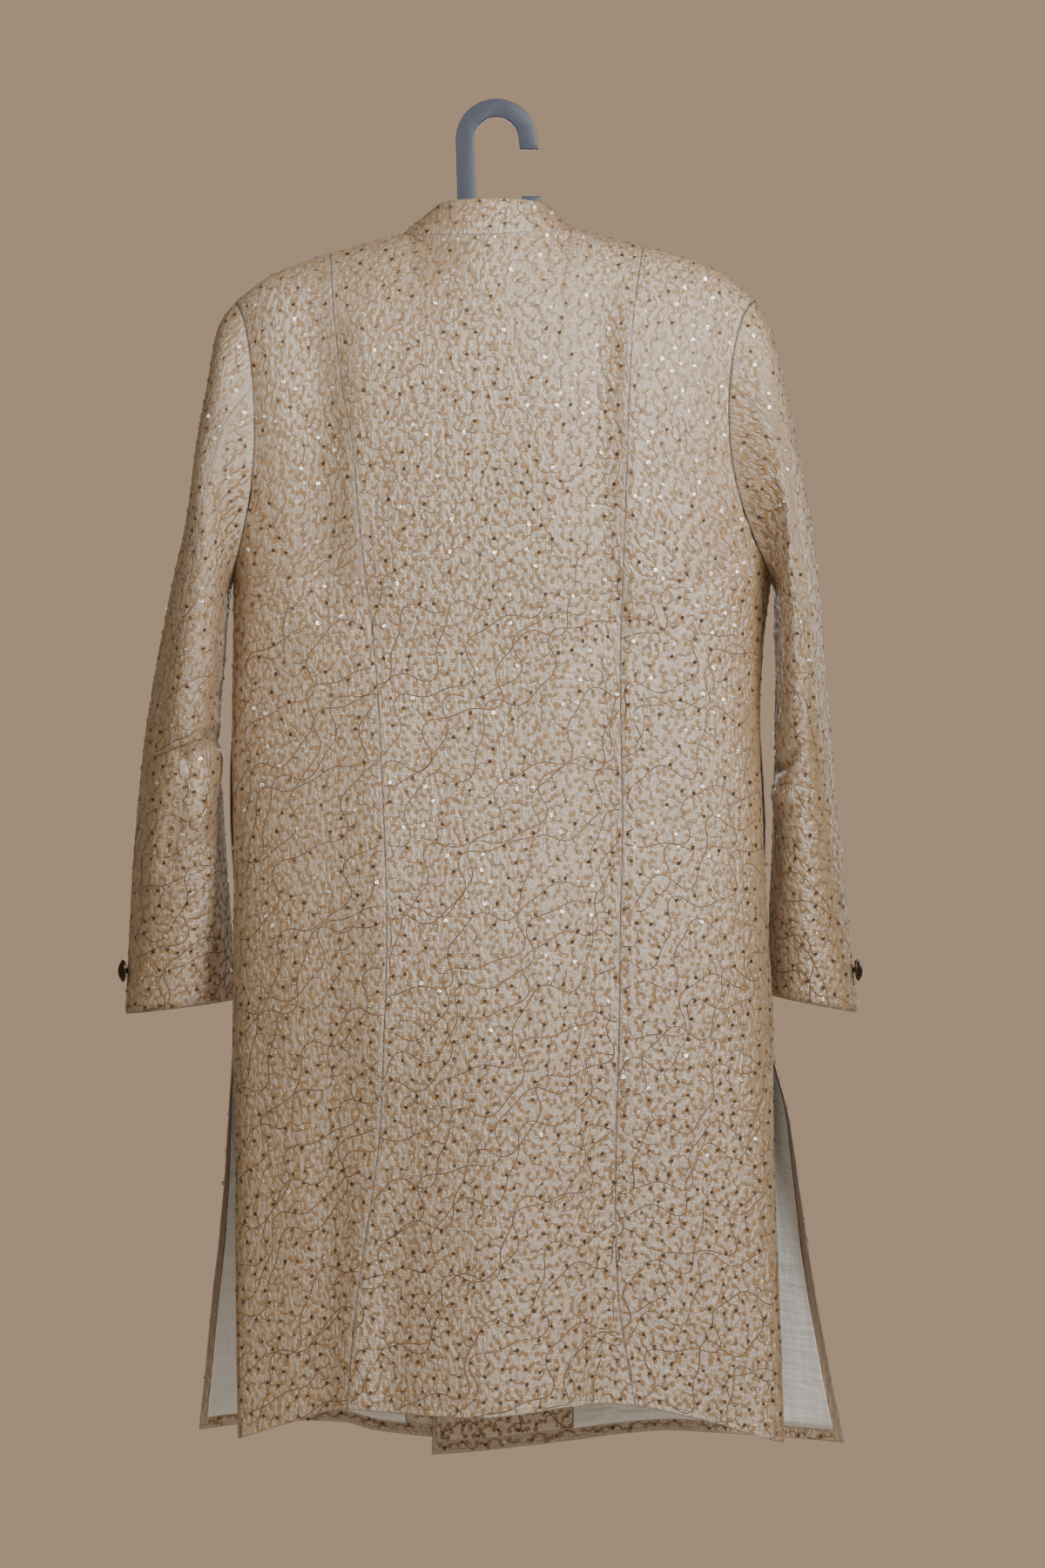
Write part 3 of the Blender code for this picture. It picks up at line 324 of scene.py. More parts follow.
def side_share(share, level):
    crowded = np.sin(np.pi / 2 * share)
    return between(crowded, share, ease(down_slit(lower_z(level)) * SKIRT_SPREAD))


def body_x(face, side, across, level):
    near = np.clip(1 - across, 0, 1)
    if face == "front":
        to_side = between(corner_x(side), side_x("front", side, level), side_share(near, level))
        return np.where(across <= 1, to_side, between(corner_x(side), lap_edge_x(side, level), across - 1))
    stops = (seam_x(1, level), corner_x(1), corner_x(-1), seam_x(-1, level))
    x = between(stops[0], side_x("back", 1, level), side_share(near, level))
    for i in range(3):
        x = np.where(across > 1 + i, between(stops[i], stops[i + 1], across - 1 - i), x)
    right = between(stops[3], side_x("back", -1, level), side_share(np.clip(across - 4, 0, 1), level))
    return np.where(across >= 4, right, x)


def top_of(face, x):
    """The y and z of the shoulder line, or of the neck seam between its corners."""
    reach = np.clip((x - NECK_X) / NECK_HALF_WIDTH, -1, 1)
    round_neck = np.sqrt(1 - reach * reach)
    corner_z = between(SHOULDER_RIGHT[-1].z, SHOULDER_LEFT[0].z, (reach + 1) / 2)
    neck_y = (NECK_BACK_Y if face == "back" else NECK_FRONT_Y) * round_neck
    drop = NECK_BACK_DROP * round_neck if face == "back" else NECK_FRONT_DROP * round_neck**NECK_FRONT_POWER
    on_neck = np.abs(x - NECK_X) < NECK_HALF_WIDTH
    shoulder = np.where(x > 0, column(SHOULDER_LEFT, "x", "z", x), column(SHOULDER_RIGHT, "x", "z", x))
    return np.where(on_neck, neck_y, 0), np.where(on_neck, corner_z - drop, shoulder)


def fold_rise(folds, x, z):
    """How far folds that run mostly down the cloth move it out."""
    total = 0 * x
    for fold in folds:
        along = (z - fold.top_z) / (fold.foot_z - fold.top_z)
        held = np.clip(along, 0, 1)
        away = x - between(fold.top_x, fold.foot_x, held)
        past_end = np.abs(along - held) * abs(fold.foot_z - fold.top_z)
        rise = between(fold.top_rise, fold.foot_rise, held)
        total = total + rise * np.exp(-((away / fold.width) ** 2) - (past_end / FOLD_END) ** 2)
    return total


def bulge_at(face, x, level, power=BODY_FULLNESS, root=1 / BODY_FULLNESS):
    left, right = side_x(face, 1, np.maximum(level, 1)), side_x(face, -1, np.maximum(level, 1))
    reach = np.minimum(np.abs(x - (left + right) / 2) / ((left - right) / 2), 1)
    return (1 - reach**power) ** root


def lap_lift(x, level):
    """How far the left front lies out from the right one, straight out from the cloth."""
    lean = np.radians(between(LAP_TOP_LEAN, 90, ease(level / LAP_LEAN_LEVEL)))
    share = LAP_LIFT * ease((LAP_END_X - x) / LAP_EASE_WIDTH)
    return np.stack((0 * x, -np.sin(lean) * share, np.cos(lean) * share), -1)


def body_point(face, side, across, level):
    """Points of the coat's outside."""
    across, level = np.broadcast_arrays(np.asarray(across, float), np.asarray(level, float))
    x = body_x(face, side, across, level)
    top_y, top_z = top_of(face, body_x(face, side, across, 0 * level))
    above, held = level <= 1, np.minimum(level, 1)
    roll = np.where(above, np.sin(np.pi * np.minimum(level, 0.5)), 1)
    upper_z = between(top_z, UNDERARM_Z, (1 - np.cos(np.pi * held)) / 2)
    upper_depth = column(DEPTHS, "z", face, upper_z) * roll
    bulge = bulge_at(face, x, level)
    here = side if face == "front" else np.where(x > NECK_X, 1, -1)
    armhole_x = np.where(here > 0, side_x(face, 1, held), side_x(face, -1, held))
    armhole_y = ARMHOLE_HALF_DEPTH * np.sin(np.pi * held) - upper_depth * bulge_at(face, armhole_x, level)
    armhole_y = armhole_y * np.exp(-(((armhole_x - x) / ARMHOLE_BLEND) ** 2))
    neck_reach = np.minimum(np.abs(x - NECK_X) / NECK_HALF_WIDTH, 1)
    swell = (NECK_BACK_Y if face == "back" else NECK_FRONT_Y) * (1 - neck_reach**2) ** NECK_SWELL_POWER
    shoulder_y = between(top_y, swell, ease(level / NECK_SWELL_LEVEL)) * (1 - roll)
    upper_y = shoulder_y + upper_depth * bulge + armhole_y

    nominal = lower_z(level)
    edge_y = column(SIDE_EDGES, "z", face + "_y", nominal)
    if face == "front":
        spread_out = bulge_at(face, x, level, SKIRT_FULLNESS, SKIRT_ROOT)
        bulge = between(bulge, spread_out, ease(down_slit(nominal)))
    hem = HEM_BACK if face == "back" else HEM_FRONT_LEFT if side > 0 else HEM_FRONT_RIGHT
    hem_z = column(hem, "x", "z", body_x(face, side, across, 0 * level + 2))
    lower_y = edge_y + (column(DEPTHS, "z", face, nominal) - edge_y) * bulge

    z = np.where(above, upper_z, between(UNDERARM_Z, hem_z, level - 1))
    y = np.where(above, upper_y, lower_y)
    y = y + fold_rise(BACK_FOLDS if face == "back" else FRONT_FOLDS, x, z) * roll * bulge
    point = np.stack((x, (1 if face == "back" else -1) * (y + SEAM_GAP / 2), z), -1)
    return point + lap_lift(x, level) if face == "front" and side > 0 else point

# === Raw silk ================================================================================
# Cream raw silk, its slubs lying across the cloth. A panel's map gives each place on it in metres
# of cloth, and the weave is drawn in millimetres of that.

# Shade is painted into the silk's colour: it turns dark brown down the seams and along the free edges, within
# these reaches and at these strengths.
SEAM_SHADE_REACH, EDGE_SHADE_REACH = 1.7, 1.1
SEAM_SHADE, EDGE_SHADE, PAINTED_SHADE_COLOUR = 0.95, 0.8, (0.13, 0.075, 0.035)
STITCH_LINE, STITCH_DEPTH = 4.6, 0.3
THREAD_PITCH = 9.0


def link_value(tree, socket, value):
    """Sets a socket to a number or a colour, or links another node's output to it."""
    if isinstance(value, bpy.types.NodeSocket):
        tree.links.new(value, socket)
    elif isinstance(value, tuple):
        socket.default_value = (*value, 1)
    else:
        socket.default_value = value


def maths(tree, operation, *values, clamp=False):
    node = tree.nodes.new("ShaderNodeMath")
    node.operation = operation
    node.use_clamp = clamp
    for socket, value in zip(node.inputs, values):
        link_value(tree, socket, value)
    return node.outputs[0]


def spread(tree, value, gain, base, clamp=False):
    """A value so many times over, and a base added to it."""
    return maths(tree, "MULTIPLY_ADD", value, gain, base, clamp=clamp)


def mix_colours(tree, share, first, second):
    mix = tree.nodes.new("ShaderNodeMix")
    mix.data_type = "RGBA"
    factor, _, _, _, _, _, low, high = mix.inputs[:8]
    for socket, value in ((factor, share), (low, first), (high, second)):
        link_value(tree, socket, value)
    return mix.outputs[2]


def scaled(tree, place, by):
    stretch = tree.nodes.new("ShaderNodeVectorMath")
    stretch.operation = "MULTIPLY"
    stretch.inputs[1].default_value = by
    tree.links.new(place, stretch.inputs[0])
    return stretch.outputs[0]


def marks(tree, place, width, height, detail=2.0):
    """Noise from 0 to 1, in marks about so many millimetres wide and high."""
    noise = tree.nodes.new("ShaderNodeTexNoise")
    noise.inputs["Scale"].default_value = 1.0
    noise.inputs["Detail"].default_value = detail
    tree.links.new(scaled(tree, place, (1 / width, 1 / height, 1)), noise.inputs["Vector"])
    return noise.outputs["Fac"]


def object_place(tree):
    """Each point's place on the object, in millimetres."""
    return scaled(tree, tree.nodes.new("ShaderNodeTexCoord").outputs["Object"], (1000, 1000, 1000))


def cloth_place(tree):
    """Each point's place on its panel laid flat, in millimetres."""
    flat = tree.nodes.new("ShaderNodeUVMap")
    flat.uv_map = "cloth"
    return scaled(tree, flat.outputs[0], (1000, 1000, 1000))


def reach_from(tree, edge):
    """How far each point lies from its panel's seams or from its free edges, in millimetres."""
    reach = tree.nodes.new("ShaderNodeAttribute")
    reach.attribute_name = edge
    return reach.outputs["Fac"]


def dress(tree, shader, colour, roughness, height=None, depth=MM):
    """Gives a shader its colour, its roughness and a relief that deep."""
    link_value(tree, shader.inputs["Base Color"], colour)
    link_value(tree, shader.inputs["Roughness"], roughness)
    if height is not None:
        bump = tree.nodes.new("ShaderNodeBump")
        bump.inputs["Distance"].default_value = depth
        tree.links.new(height, bump.inputs["Height"])
        tree.links.new(bump.outputs[0], shader.inputs["Normal"])


weave = bpy.data.node_groups.new("slubbed_weave", "ShaderNodeTree")
for word, kind in (("Place", "Vector"), ("Slub Depth", "Float"), ("Pucker Depth", "Float")):
    weave.interface.new_socket(name=word, in_out="INPUT", socket_type="NodeSocket" + kind)
for word in ("Slub", "Mottle", "Height"):
    weave.interface.new_socket(name=word, in_out="OUTPUT", socket_type="NodeSocketFloat")
given = weave.nodes.new("NodeGroupInput").outputs
woven = weave.nodes.new("NodeGroupOutput").inputs
slub = spread(weave, marks(weave, given["Place"], 18, 0.7), 3.4, -1.7)
threads = maths(weave, "ADD", slub, spread(weave, marks(weave, given["Place"], 1.1, 30), 1.6, -0.8))
split = weave.nodes.new("ShaderNodeSeparateXYZ")
weave.links.new(scaled(weave, given["Place"], (THREAD_PITCH, THREAD_PITCH, 1)), split.inputs[0])
crossing = maths(weave, "MULTIPLY", *(maths(weave, "SINE", way) for way in split.outputs[:2]))
pucker = maths(weave, "MULTIPLY", marks(weave, given["Place"], 3.8, 7, 1.0), given["Pucker Depth"])
relief = maths(weave, "MULTIPLY_ADD", threads, given["Slub Depth"], pucker)
weave.links.new(maths(weave, "ADD", threads, 0.5, clamp=True), woven["Slub"])
weave.links.new(marks(weave, given["Place"], 26, 44, 3), woven["Mottle"])
weave.links.new(maths(weave, "MULTIPLY_ADD", crossing, 0.05, relief), woven["Height"])


def silk_material(name, light, dark, slub_depth, pucker_depth):
    """Raw silk, pale where the slubs stand up and duller between them, with shade painted darker into its
    colour down its seams and along its free edges.
    """
    constants = {"Sheen Weight": 0.12, "Sheen Roughness": 0.35, "IOR": 2.3, "Specular IOR Level": 1.0}
    material, tree, shader = new_material(name, constants)
    cloth = tree.nodes.new("ShaderNodeGroup")
    cloth.node_tree = weave
    for socket, value in zip(cloth.inputs, (cloth_place(tree), slub_depth, pucker_depth)):
        link_value(tree, socket, value)
    slubs, mottle, height = cloth.outputs
    paleness = maths(tree, "MULTIPLY_ADD", slubs, 0.75, maths(tree, "MULTIPLY", mottle, 0.35), clamp=True)
    # Painted shade: the colour darkens towards the seams and the free edges.
    to_seam, to_edge = reach_from(tree, "seam_reach"), reach_from(tree, "edge_reach")
    near_seam = spread(tree, to_seam, -1 / SEAM_SHADE_REACH, 1.0, clamp=True)
    near_edge = spread(tree, to_edge, -1 / EDGE_SHADE_REACH, 1.4, clamp=True)
    painted_shade = maths(tree, "MAXIMUM", maths(tree, "MULTIPLY", near_seam, SEAM_SHADE),
                   maths(tree, "MULTIPLY", near_edge, EDGE_SHADE))
    off_stitches = maths(tree, "ABSOLUTE", maths(tree, "SUBTRACT", to_edge, STITCH_LINE))
    groove = spread(tree, off_stitches, -0.4, STITCH_DEPTH, clamp=True)
    dress(tree, shader, mix_colours(tree, painted_shade, mix_colours(tree, paleness, dark, light), PAINTED_SHADE_COLOUR),
          spread(tree, slubs, -0.1, 0.42), maths(tree, "SUBTRACT", height, groove))
    return material


raw_silk = silk_material("raw_silk", (0.46, 0.315, 0.165), (0.34, 0.215, 0.105), 0.22, 2.2)

# === Body panels =============================================================================
# Each panel is one sheet of cloth on rows of points, with its edges turned in at the seams and
# round at the hems. Small folds, ripples and puckers lie on top of the coat's big folds.

SHELL_WALL = 1.3
UNDERARM_EASE, SIDE_EASE = 34.0, 26.0
ARMHOLE_HALF_HEIGHT = (SLEEVE_LEFT[0].outer_z - SLEEVE_LEFT[0].inner_z) / 2
TURNED_HEM_LEVEL = 2 - 11.0 / (UNDERARM_Z - HEM_Z)
TURNED_HEM_PLACES, TURNED_HEM_LEVELS = (0.01, 1.985), (TURNED_HEM_LEVEL, 1.9995)
EDGE_STEPS = (0.08, 0.7, 1.5, 2.6)
CLOTH_STEP, LEVEL_STEP, DENSE_COLUMNS, NECK_COLUMNS = 7.4, 4.0, 200, 60
SHOULDER_LEVELS, UPPER_LEVELS = (0, 0.003, 0.0075, 0.014), np.linspace(0.03, 1, 52)
LOWER_LEVELS, FOOT_LEVELS = np.linspace(1, 1.9958, 106)[1:], (1.9977, 1.999, 2)
SEAM_SINK, SEAM_REACH, SEAM_LEAN = 0.45, 2.4, 6.0
TURNED_SHARE, TURNED_REACH, FAR_OFF = 0.36, 1.2, 99.0
RIPPLE_TOP_Z, RIPPLE_GROWTH, PUCKER_HEIGHT = -330.0, 500.0, 0.16
HANGER_FOOT_Z, HANGER_EASE = -150.0, 60.0
BAKE_HALF, BAKE_OUTSIDE, BAKE_INSIDE = (0.47, 0.95), (0.01, 0.04), (0.52, 0.04)
BAKE_RIM, BAKE_SIZE, BAKE_BORDER = (0.01, 0.01, 0.025, 0.025), 0.98, 0.01

SMALL_BACK_FOLDS = [Fold(*p) for p in (
    (-86, -190, -92, -1190, 16, -5.4, -4.2),
    (-120, -160, -119, -1190, 14, 5.0, 4.4),
    (162, -225, 152, -410, 22, -4.0, -3.0),
    (122, -215, 116, -400, 17, 3.6, 2.8),
    (101, -560, 100, -860, 20, 3.4, 3.0),
    (106, -960, 131, -1190, 22, 3.2, 3.4),
    (190, -780, 196, -1190, 40, -1.0, -4.0),
    (60, -700, 66, -1200, 12, 0, 1.6),
    (28, -620, 24, -1200, 9, 0, -1.3),
    (-22, -760, -30, -1200, 11, 0, 1.5),
    (-62, -560, -68, -1200, 10, 0.3, -1.2),
    (-150, -480, -158, -1200, 13, 0.6, 1.7),
    (-196, -700, -206, -1200, 12, 0, -1.4),
    (176, -620, 182, -1200, 13, 0, 1.5),
    (206, -480, 212, -900, 10, 0.5, -1.1),
    (142, -560, 152, -1000, 9, -0.6, -1.3),
    (66, -150, 20, -262, 16, 0.7, 0.4),
    (-60, -150, -40, -300, 17, -0.7, 0.5),
)]
SMALL_FRONT_FOLDS = [Fold(*p) for p in (
    (210, -420, 216, -1180, 13, 0.8, 1.7),
    (118, -560, 112, -1200, 12, 0, 1.5),
    (70, -640, 76, -1200, 10, 0, -1.2),
    (-60, -600, -66, -1200, 12, 0, 1.4),
    (-150, -480, -160, -1200, 12, 0.4, 1.6),
    (-182, -560, -188, -1180, 9, 0, -1.2),
    (120, -180, 96, -330, 18, -0.8, -0.4),
    (-112, -178, -90, -330, 18, -0.8, -0.4),
)]
# Ripples run down the cloth and sway from side to side.
Ripple = namedtuple("Ripple", "height width sway run")
RIPPLES = (Ripple(0.22, 8.7, 1.7, 83), Ripple(0.34, 14.3, -1.3, 131))

# A crease is short and may lie across the cloth.
Crease = namedtuple("Crease", "top_x top_z foot_x foot_z width rise")
BACK_CREASES = [Crease(*p) for p in (
    (-30, -119, -68, -116, 4, -1.1),
    (-236, -350, -202, -384, 6, -1.4),
    (-238, -376, -198, -414, 6, -1.3),
    (232, -330, 202, -378, 7, -1.1),
)]
FRONT_CREASES = [Crease(*p) for p in (
    (196, -340, 150, -400, 9, -1.3),
    (-200, -336, -152, -398, 9, -1.3),
)]

# A panel's cloth: rows of points, the way out of it at each, how far down each lies when the foot
# is level, and whether its rows and columns turn the way out (1) or in (-1).
Panel = namedtuple("Panel", "points ways downs turn")


def unit(vectors):
    return vectors / np.maximum(np.linalg.norm(vectors, axis=-1, keepdims=True), 1e-9)


def square_to(points):
    return unit(np.cross(np.gradient(points, axis=0), np.gradient(points, axis=1)))


def ways_out(points, outward):
    """The way out of the cloth at each point, on outward's side, and which way its rows turn."""
    ways = square_to(points)
    turn = 1 if (ways * outward).sum() > 0 else -1
    return ways * turn, turn


def steps_of(points, axis):
    return np.linalg.norm(np.diff(points, axis=axis), axis=2)


def along_rows(points):
    return np.pad(np.cumsum(steps_of(points, 1), 1), ((0, 0), (1, 0)))


def places_on(line, reach, places):
    """A line's points at places along it, from how far along it each of its own points is."""
    return np.stack([np.interp(places, reach, line[:, k]) for k in range(3)], -1)


def lay_out(dense, outward):
    """A panel for its mesh, with close columns beside its edges, and one with even columns."""
    along = along_rows(dense)
    turn = ways_out(dense, outward)[1]
    count = max(int(along[:, -1].mean() / CLOTH_STEP), 4)
    last = EDGE_STEPS[-1]
    panels = []
    for even in (False, True):
        rows = []
        for row, reach in zip(dense, along):
            width = reach[-1]
            middle = np.linspace(last, width - last, count)
            places = np.concatenate((EDGE_STEPS[:-1], middle, width - np.array(EDGE_STEPS[-2::-1])))
            if even:
                places = np.linspace(0, width, count + 2)
            rows.append(places_on(row, reach, places))
        points = np.array(rows)
        to_foot = np.pad(np.cumsum(steps_of(points, 0)[::-1], 0)[::-1], ((0, 1), (0, 0)))
        panels.append(Panel(points, square_to(points) * turn, to_foot.max() - to_foot, turn))
    return panels


def crease_rise(creases, x, z):
    total = 0 * x
    for crease in creases:
        run_x, run_z = crease.foot_x - crease.top_x, crease.foot_z - crease.top_z
        from_x, from_z = x - crease.top_x, z - crease.top_z
        held = np.clip((from_x * run_x + from_z * run_z) / (run_x**2 + run_z**2), 0, 1)
        away = np.hypot(from_x - held * run_x, from_z - held * run_z)
        total = total + crease.rise * np.exp(-((away / crease.width) ** 2))
    return total


def cloth_rise(face, x, z):
    """How far the small folds, the ripples and the puckers move the cloth out."""
    back = face == "back"
    folds, creases = (SMALL_BACK_FOLDS, BACK_CREASES) if back else (SMALL_FRONT_FOLDS, FRONT_CREASES)
    ripple = sum(wave.height * np.sin(x / wave.width + wave.sway * np.sin(z / wave.run)) for wave in RIPPLES)
    pucker = PUCKER_HEIGHT * np.sin(z / 9.1 + 2 * np.sin(x / 19)) * np.sin(x / 11.3 + z / 57)
    hanging = fold_rise(folds, x, z) + ripple * ease((RIPPLE_TOP_Z - z) / RIPPLE_GROWTH) + pucker
    return hanging * ease((HANGER_FOOT_Z - z) / HANGER_EASE) + crease_rise(creases, x, z)


def body_levels(low=0.0, high=2.0):
    """The levels of a panel's rows, close together at the shoulder and the hem."""
    rows = np.concatenate((SHOULDER_LEVELS, UPPER_LEVELS, LOWER_LEVELS, FOOT_LEVELS))
    return np.unique(np.concatenate(((low,), rows[(rows > low) & (rows < high)], (high,))))


def smooth_underarm(face, side, dense):
    """Eases the cloth across the level of the underarm, all but along its side edges."""
    for j in range(dense.shape[1]):
        x, y, z = dense[:, j].T
        here = side if face == "front" else (1 if x[-1] > NECK_X else -1)
        bridged = (z < UNDERARM_Z + UNDERARM_EASE) & (z > UNDERARM_Z - UNDERARM_EASE)
        if not bridged.any():
            continue
        rows = np.flatnonzero(bridged)
        above, below = max(rows[0] - 1, 1), min(rows[-1] + 1, len(z) - 2)
        slope_above = (y[above] - y[above - 1]) / (z[above] - z[above - 1])
        slope_below = (y[below + 1] - y[below]) / (z[below + 1] - z[below])
        run = z[below] - z[above]
        u = (z[rows] - z[above]) / run
        eased = (y[above] * (2 * u**3 - 3 * u**2 + 1) + run * slope_above * (u**3 - 2 * u**2 + u)
                 + y[below] * (3 * u**2 - 2 * u**3) + run * slope_below * (u**3 - u**2))
        inside = np.abs(side_x(face, here, level_of(np.minimum(z[rows], UNDERARM_Z))) - x[rows])
        dense[rows, j, 1] = between(y[rows], eased, ease(inside / SIDE_EASE))


def body_cloth(face, side, low, high, levels):
    """The cloth between two places across the body, with all its folds."""
    turns = (1 - np.cos(np.linspace(0, math.pi, NECK_COLUMNS))) / 2
    neck = 2 + turns
    if face == "front":
        neck = 1 + 2 * turns[:NECK_COLUMNS // 2] * NECK_HALF_WIDTH / (NECK_HALF_WIDTH + FRONT_EXTENSION)
    across = np.concatenate((np.linspace(low, high, DENSE_COLUMNS), neck[(neck > low) & (neck < high)]))
    dense = body_point(face, side, np.unique(across)[None], levels[:, None])
    smooth_underarm(face, side, dense)
    outward = np.array((0, 1.0 if face == "back" else -1.0, 0.2))
    ways, _ = ways_out(dense, outward)
    return lay_out(dense + ways * cloth_rise(face, dense[..., 0], dense[..., 2])[..., None], outward)


def armhole_ways(side, angle):
    """The way out of the cloth at the armhole's seam, which the body and the sleeve share."""
    turn = np.radians(angle)
    across, up = np.sin(turn) / ARMHOLE_HALF_DEPTH, np.cos(turn) / ARMHOLE_HALF_HEIGHT
    length = np.hypot(across, up)
    tilt = ARMHOLE_TILT * (1 + np.cos(turn)) / 2
    return unit(np.stack((side * tilt, across / length, up / length), -1))


def side_ways(face, side, levels):
    """The way out down a side edge: the armhole's, then straight out, and free beside the slit."""
    ways = armhole_ways(side, 180 * np.minimum(levels, 1) * (1 if face == "back" else -1))
    ways = np.where(levels[:, None] > 1, np.array((side, 0.0, 0.0)), ways)
    return np.where(lower_z(levels)[:, None] < SLIT_TOP_Z, np.nan, ways)[:, None, :]


def top_ways(panel):
    """The way out along the top edge, which the collar or the other shoulder shares."""
    x, y = panel.points[0, :, 0], panel.points[0, :, 1]
    half_depth = np.where(y > 0, NECK_BACK_Y, NECK_FRONT_Y)
    outward = unit(np.stack(((x - NECK_X) / NECK_HALF_WIDTH, y / half_depth, 0 * x), -1))
    neck = unit(outward * NECK_LEAN_OUT + np.array((0, 0, NECK_LEAN_UP)))
    shoulder = unit(panel.ways[0] * (1, 0, 1))
    return np.where(np.abs(x - NECK_X)[:, None] < NECK_HALF_WIDTH, neck, shoulder)[None]


def add_map(mesh, name, spots):
    """A UV map from a place for each corner of each face."""
    mesh.uv_layers.new(name=name).data.foreach_set("uv", np.asarray(spots, np.float32).ravel())


def within_border(spots):
    return spots * BAKE_SIZE + BAKE_BORDER


def quads_of(index):
    """The four-sided faces between a grid's rows and columns."""
    corners = (index[..., :-1, :-1], index[..., 1:, :-1], index[..., 1:, 1:], index[..., :-1, 1:])
    return np.stack(corners, -1).reshape(-1, 4)


def make_cloth(name, panel, look, wall=SHELL_WALL, depth=0.0, shared=(), free=()):
    """Makes a panel's cloth. shared gives the way out along edges that a seam holds, and free
    names the edges that no seam holds, which are turned round."""
    along, downs = along_rows(panel.points), panel.downs
    reach = {"top": downs - downs[0], "foot": downs[-1] - downs, "start": along, "end": along[:, -1:] - along}
    ways = panel.ways
    for edge, held in shared:
        share = np.clip(1 - reach[edge] / SEAM_LEAN, 0, 1)[..., None] ** 2 * ~np.isnan(held)
        ways = unit(ways * (1 - share) + np.nan_to_num(held) * share)
    none = np.full_like(along, FAR_OFF)
    sewn = np.minimum.reduce([none] + [reach[edge] for edge in reach if edge not in free])
    loose = np.minimum.reduce([none] + [reach[edge] for edge in free])
    sink = SEAM_SINK * np.clip(1 - sewn / SEAM_REACH, 0, 1) ** 2
    turned = TURNED_SHARE * wall * np.clip(1 - loose / (TURNED_REACH * wall), 0, 1) ** 2
    outside = panel.points - ways * (depth + sink + turned)[..., None]
    inside = panel.points - ways * (depth + wall - turned)[..., None]

    count = along.size
    index = np.arange(count).reshape(along.shape)
    front = quads_of(index)
    rim = np.concatenate((index[0, :-1], index[:-1, -1], index[-1, :0:-1], index[:0:-1, 0]))
    after = np.roll(rim, -1)
    edge = np.stack((rim, after, after + count, rim + count), -1)
    faces = np.concatenate((front, front[:, ::-1] + count, edge))[:, :: panel.turn]
    mesh = bpy.data.meshes.new(name)
    points = np.concatenate((outside.reshape(-1, 3), inside.reshape(-1, 3)))
    mesh.from_pydata((points * MM).tolist(), [], faces.tolist())
    flat = np.stack((along - along[:, -1:] / 2, -downs), -1).reshape(-1, 2)
    add_map(mesh, "cloth", np.concatenate((flat, flat))[faces] * MM)
    lengths = np.concatenate(([0], np.cumsum(steps_of(panel.points, 0).mean(1))))
    down = lengths[:, None] / lengths[-1] + 0 * along
    share = np.stack((along / along[:, -1:], down), -1).reshape(-1, 2) * BAKE_HALF
    baked = np.concatenate((share + BAKE_OUTSIDE, share + BAKE_INSIDE))[faces]
    steps = within_border((np.arange(len(rim))[:, None] + (0, 1, 1, 0)) / len(rim))
    baked[2 * len(front):] = np.stack((steps, np.broadcast_to(BAKE_RIM, steps.shape)), -1)[:, :: panel.turn]
    add_map(mesh, "OFBake", baked)
    for word, values in (("seam_reach", sewn), ("edge_reach", loose)):
        both = np.tile(values.ravel(), 2).astype(np.float32)
        mesh.attributes.new(word, "FLOAT", "POINT").data.foreach_set("value", both)
    mesh.polygons.foreach_set("use_smooth", [True] * len(mesh.polygons))
    mesh.materials.append(look)
    return add_object(name, mesh)


# A panel laid flat for its sewing: level rows of points a step apart, the way out at each, how
# far each lies across from the middle, how far down each column starts, and the panel's turn.
Layout = namedtuple("Layout", "points ways across tops step turn")


def flat_layout(even):
    """An even panel on level rows, each square to the columns."""
    foot = even.downs[-1, 0]
    levels = np.linspace(0, foot, int(foot / LEVEL_STEP) + 3)
    columns = range(even.downs.shape[1])
    points, ways = (
        np.stack([places_on(grid[:, j], even.downs[:, j], levels) for j in columns], 1)
        for grid in (even.points, even.ways)
    )
    steps = steps_of(points, 1)
    tops = even.downs[0]
    firsts = np.searchsorted(levels, np.maximum(tops[1:], tops[:-1]))
    for j, first in enumerate(np.minimum(firsts, len(levels) - 1)):
        steps[:first, j] = steps[first, j]
    across = np.pad(np.cumsum(steps, 1), ((0, 0), (1, 0)))
    across = across - across[:, across.shape[1] // 2, None]
    return Layout(points, unit(ways), across, tops, levels[1], even.turn)


def inside_of(layout, depth):
    """A layout's other face, so deep under its outside."""
    return layout._replace(points=layout.points - layout.ways * depth, ways=-layout.ways, turn=-layout.turn)


def finish_piece(piece, slot, *nodes):
    """Puts a piece on the body, in the stead of its solids."""
    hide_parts(*nodes)
    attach(piece, "root")


def flat_size(layout):
    """A layout's length, and how far it reaches from its middle."""
    return layout.step * (len(layout.across) - 1), np.abs(layout.across).max()


# The embroidered panels, each with the layouts of its sewing.
Embroidered = namedtuple("Embroidered", "cloth layouts slot")
embroidered = []


def hang_panel(name, panel, look, slot, layouts=(), **edges):
    """Makes a panel's cloth in its solid's stead, and keeps the layouts of what is sewn on it."""
    cloth = make_cloth(name + "_cloth", panel, look, **edges)
    finish_piece(cloth, slot, name)
    if layouts:
        embroidered.append(Embroidered(cloth, layouts, slot))
    return cloth


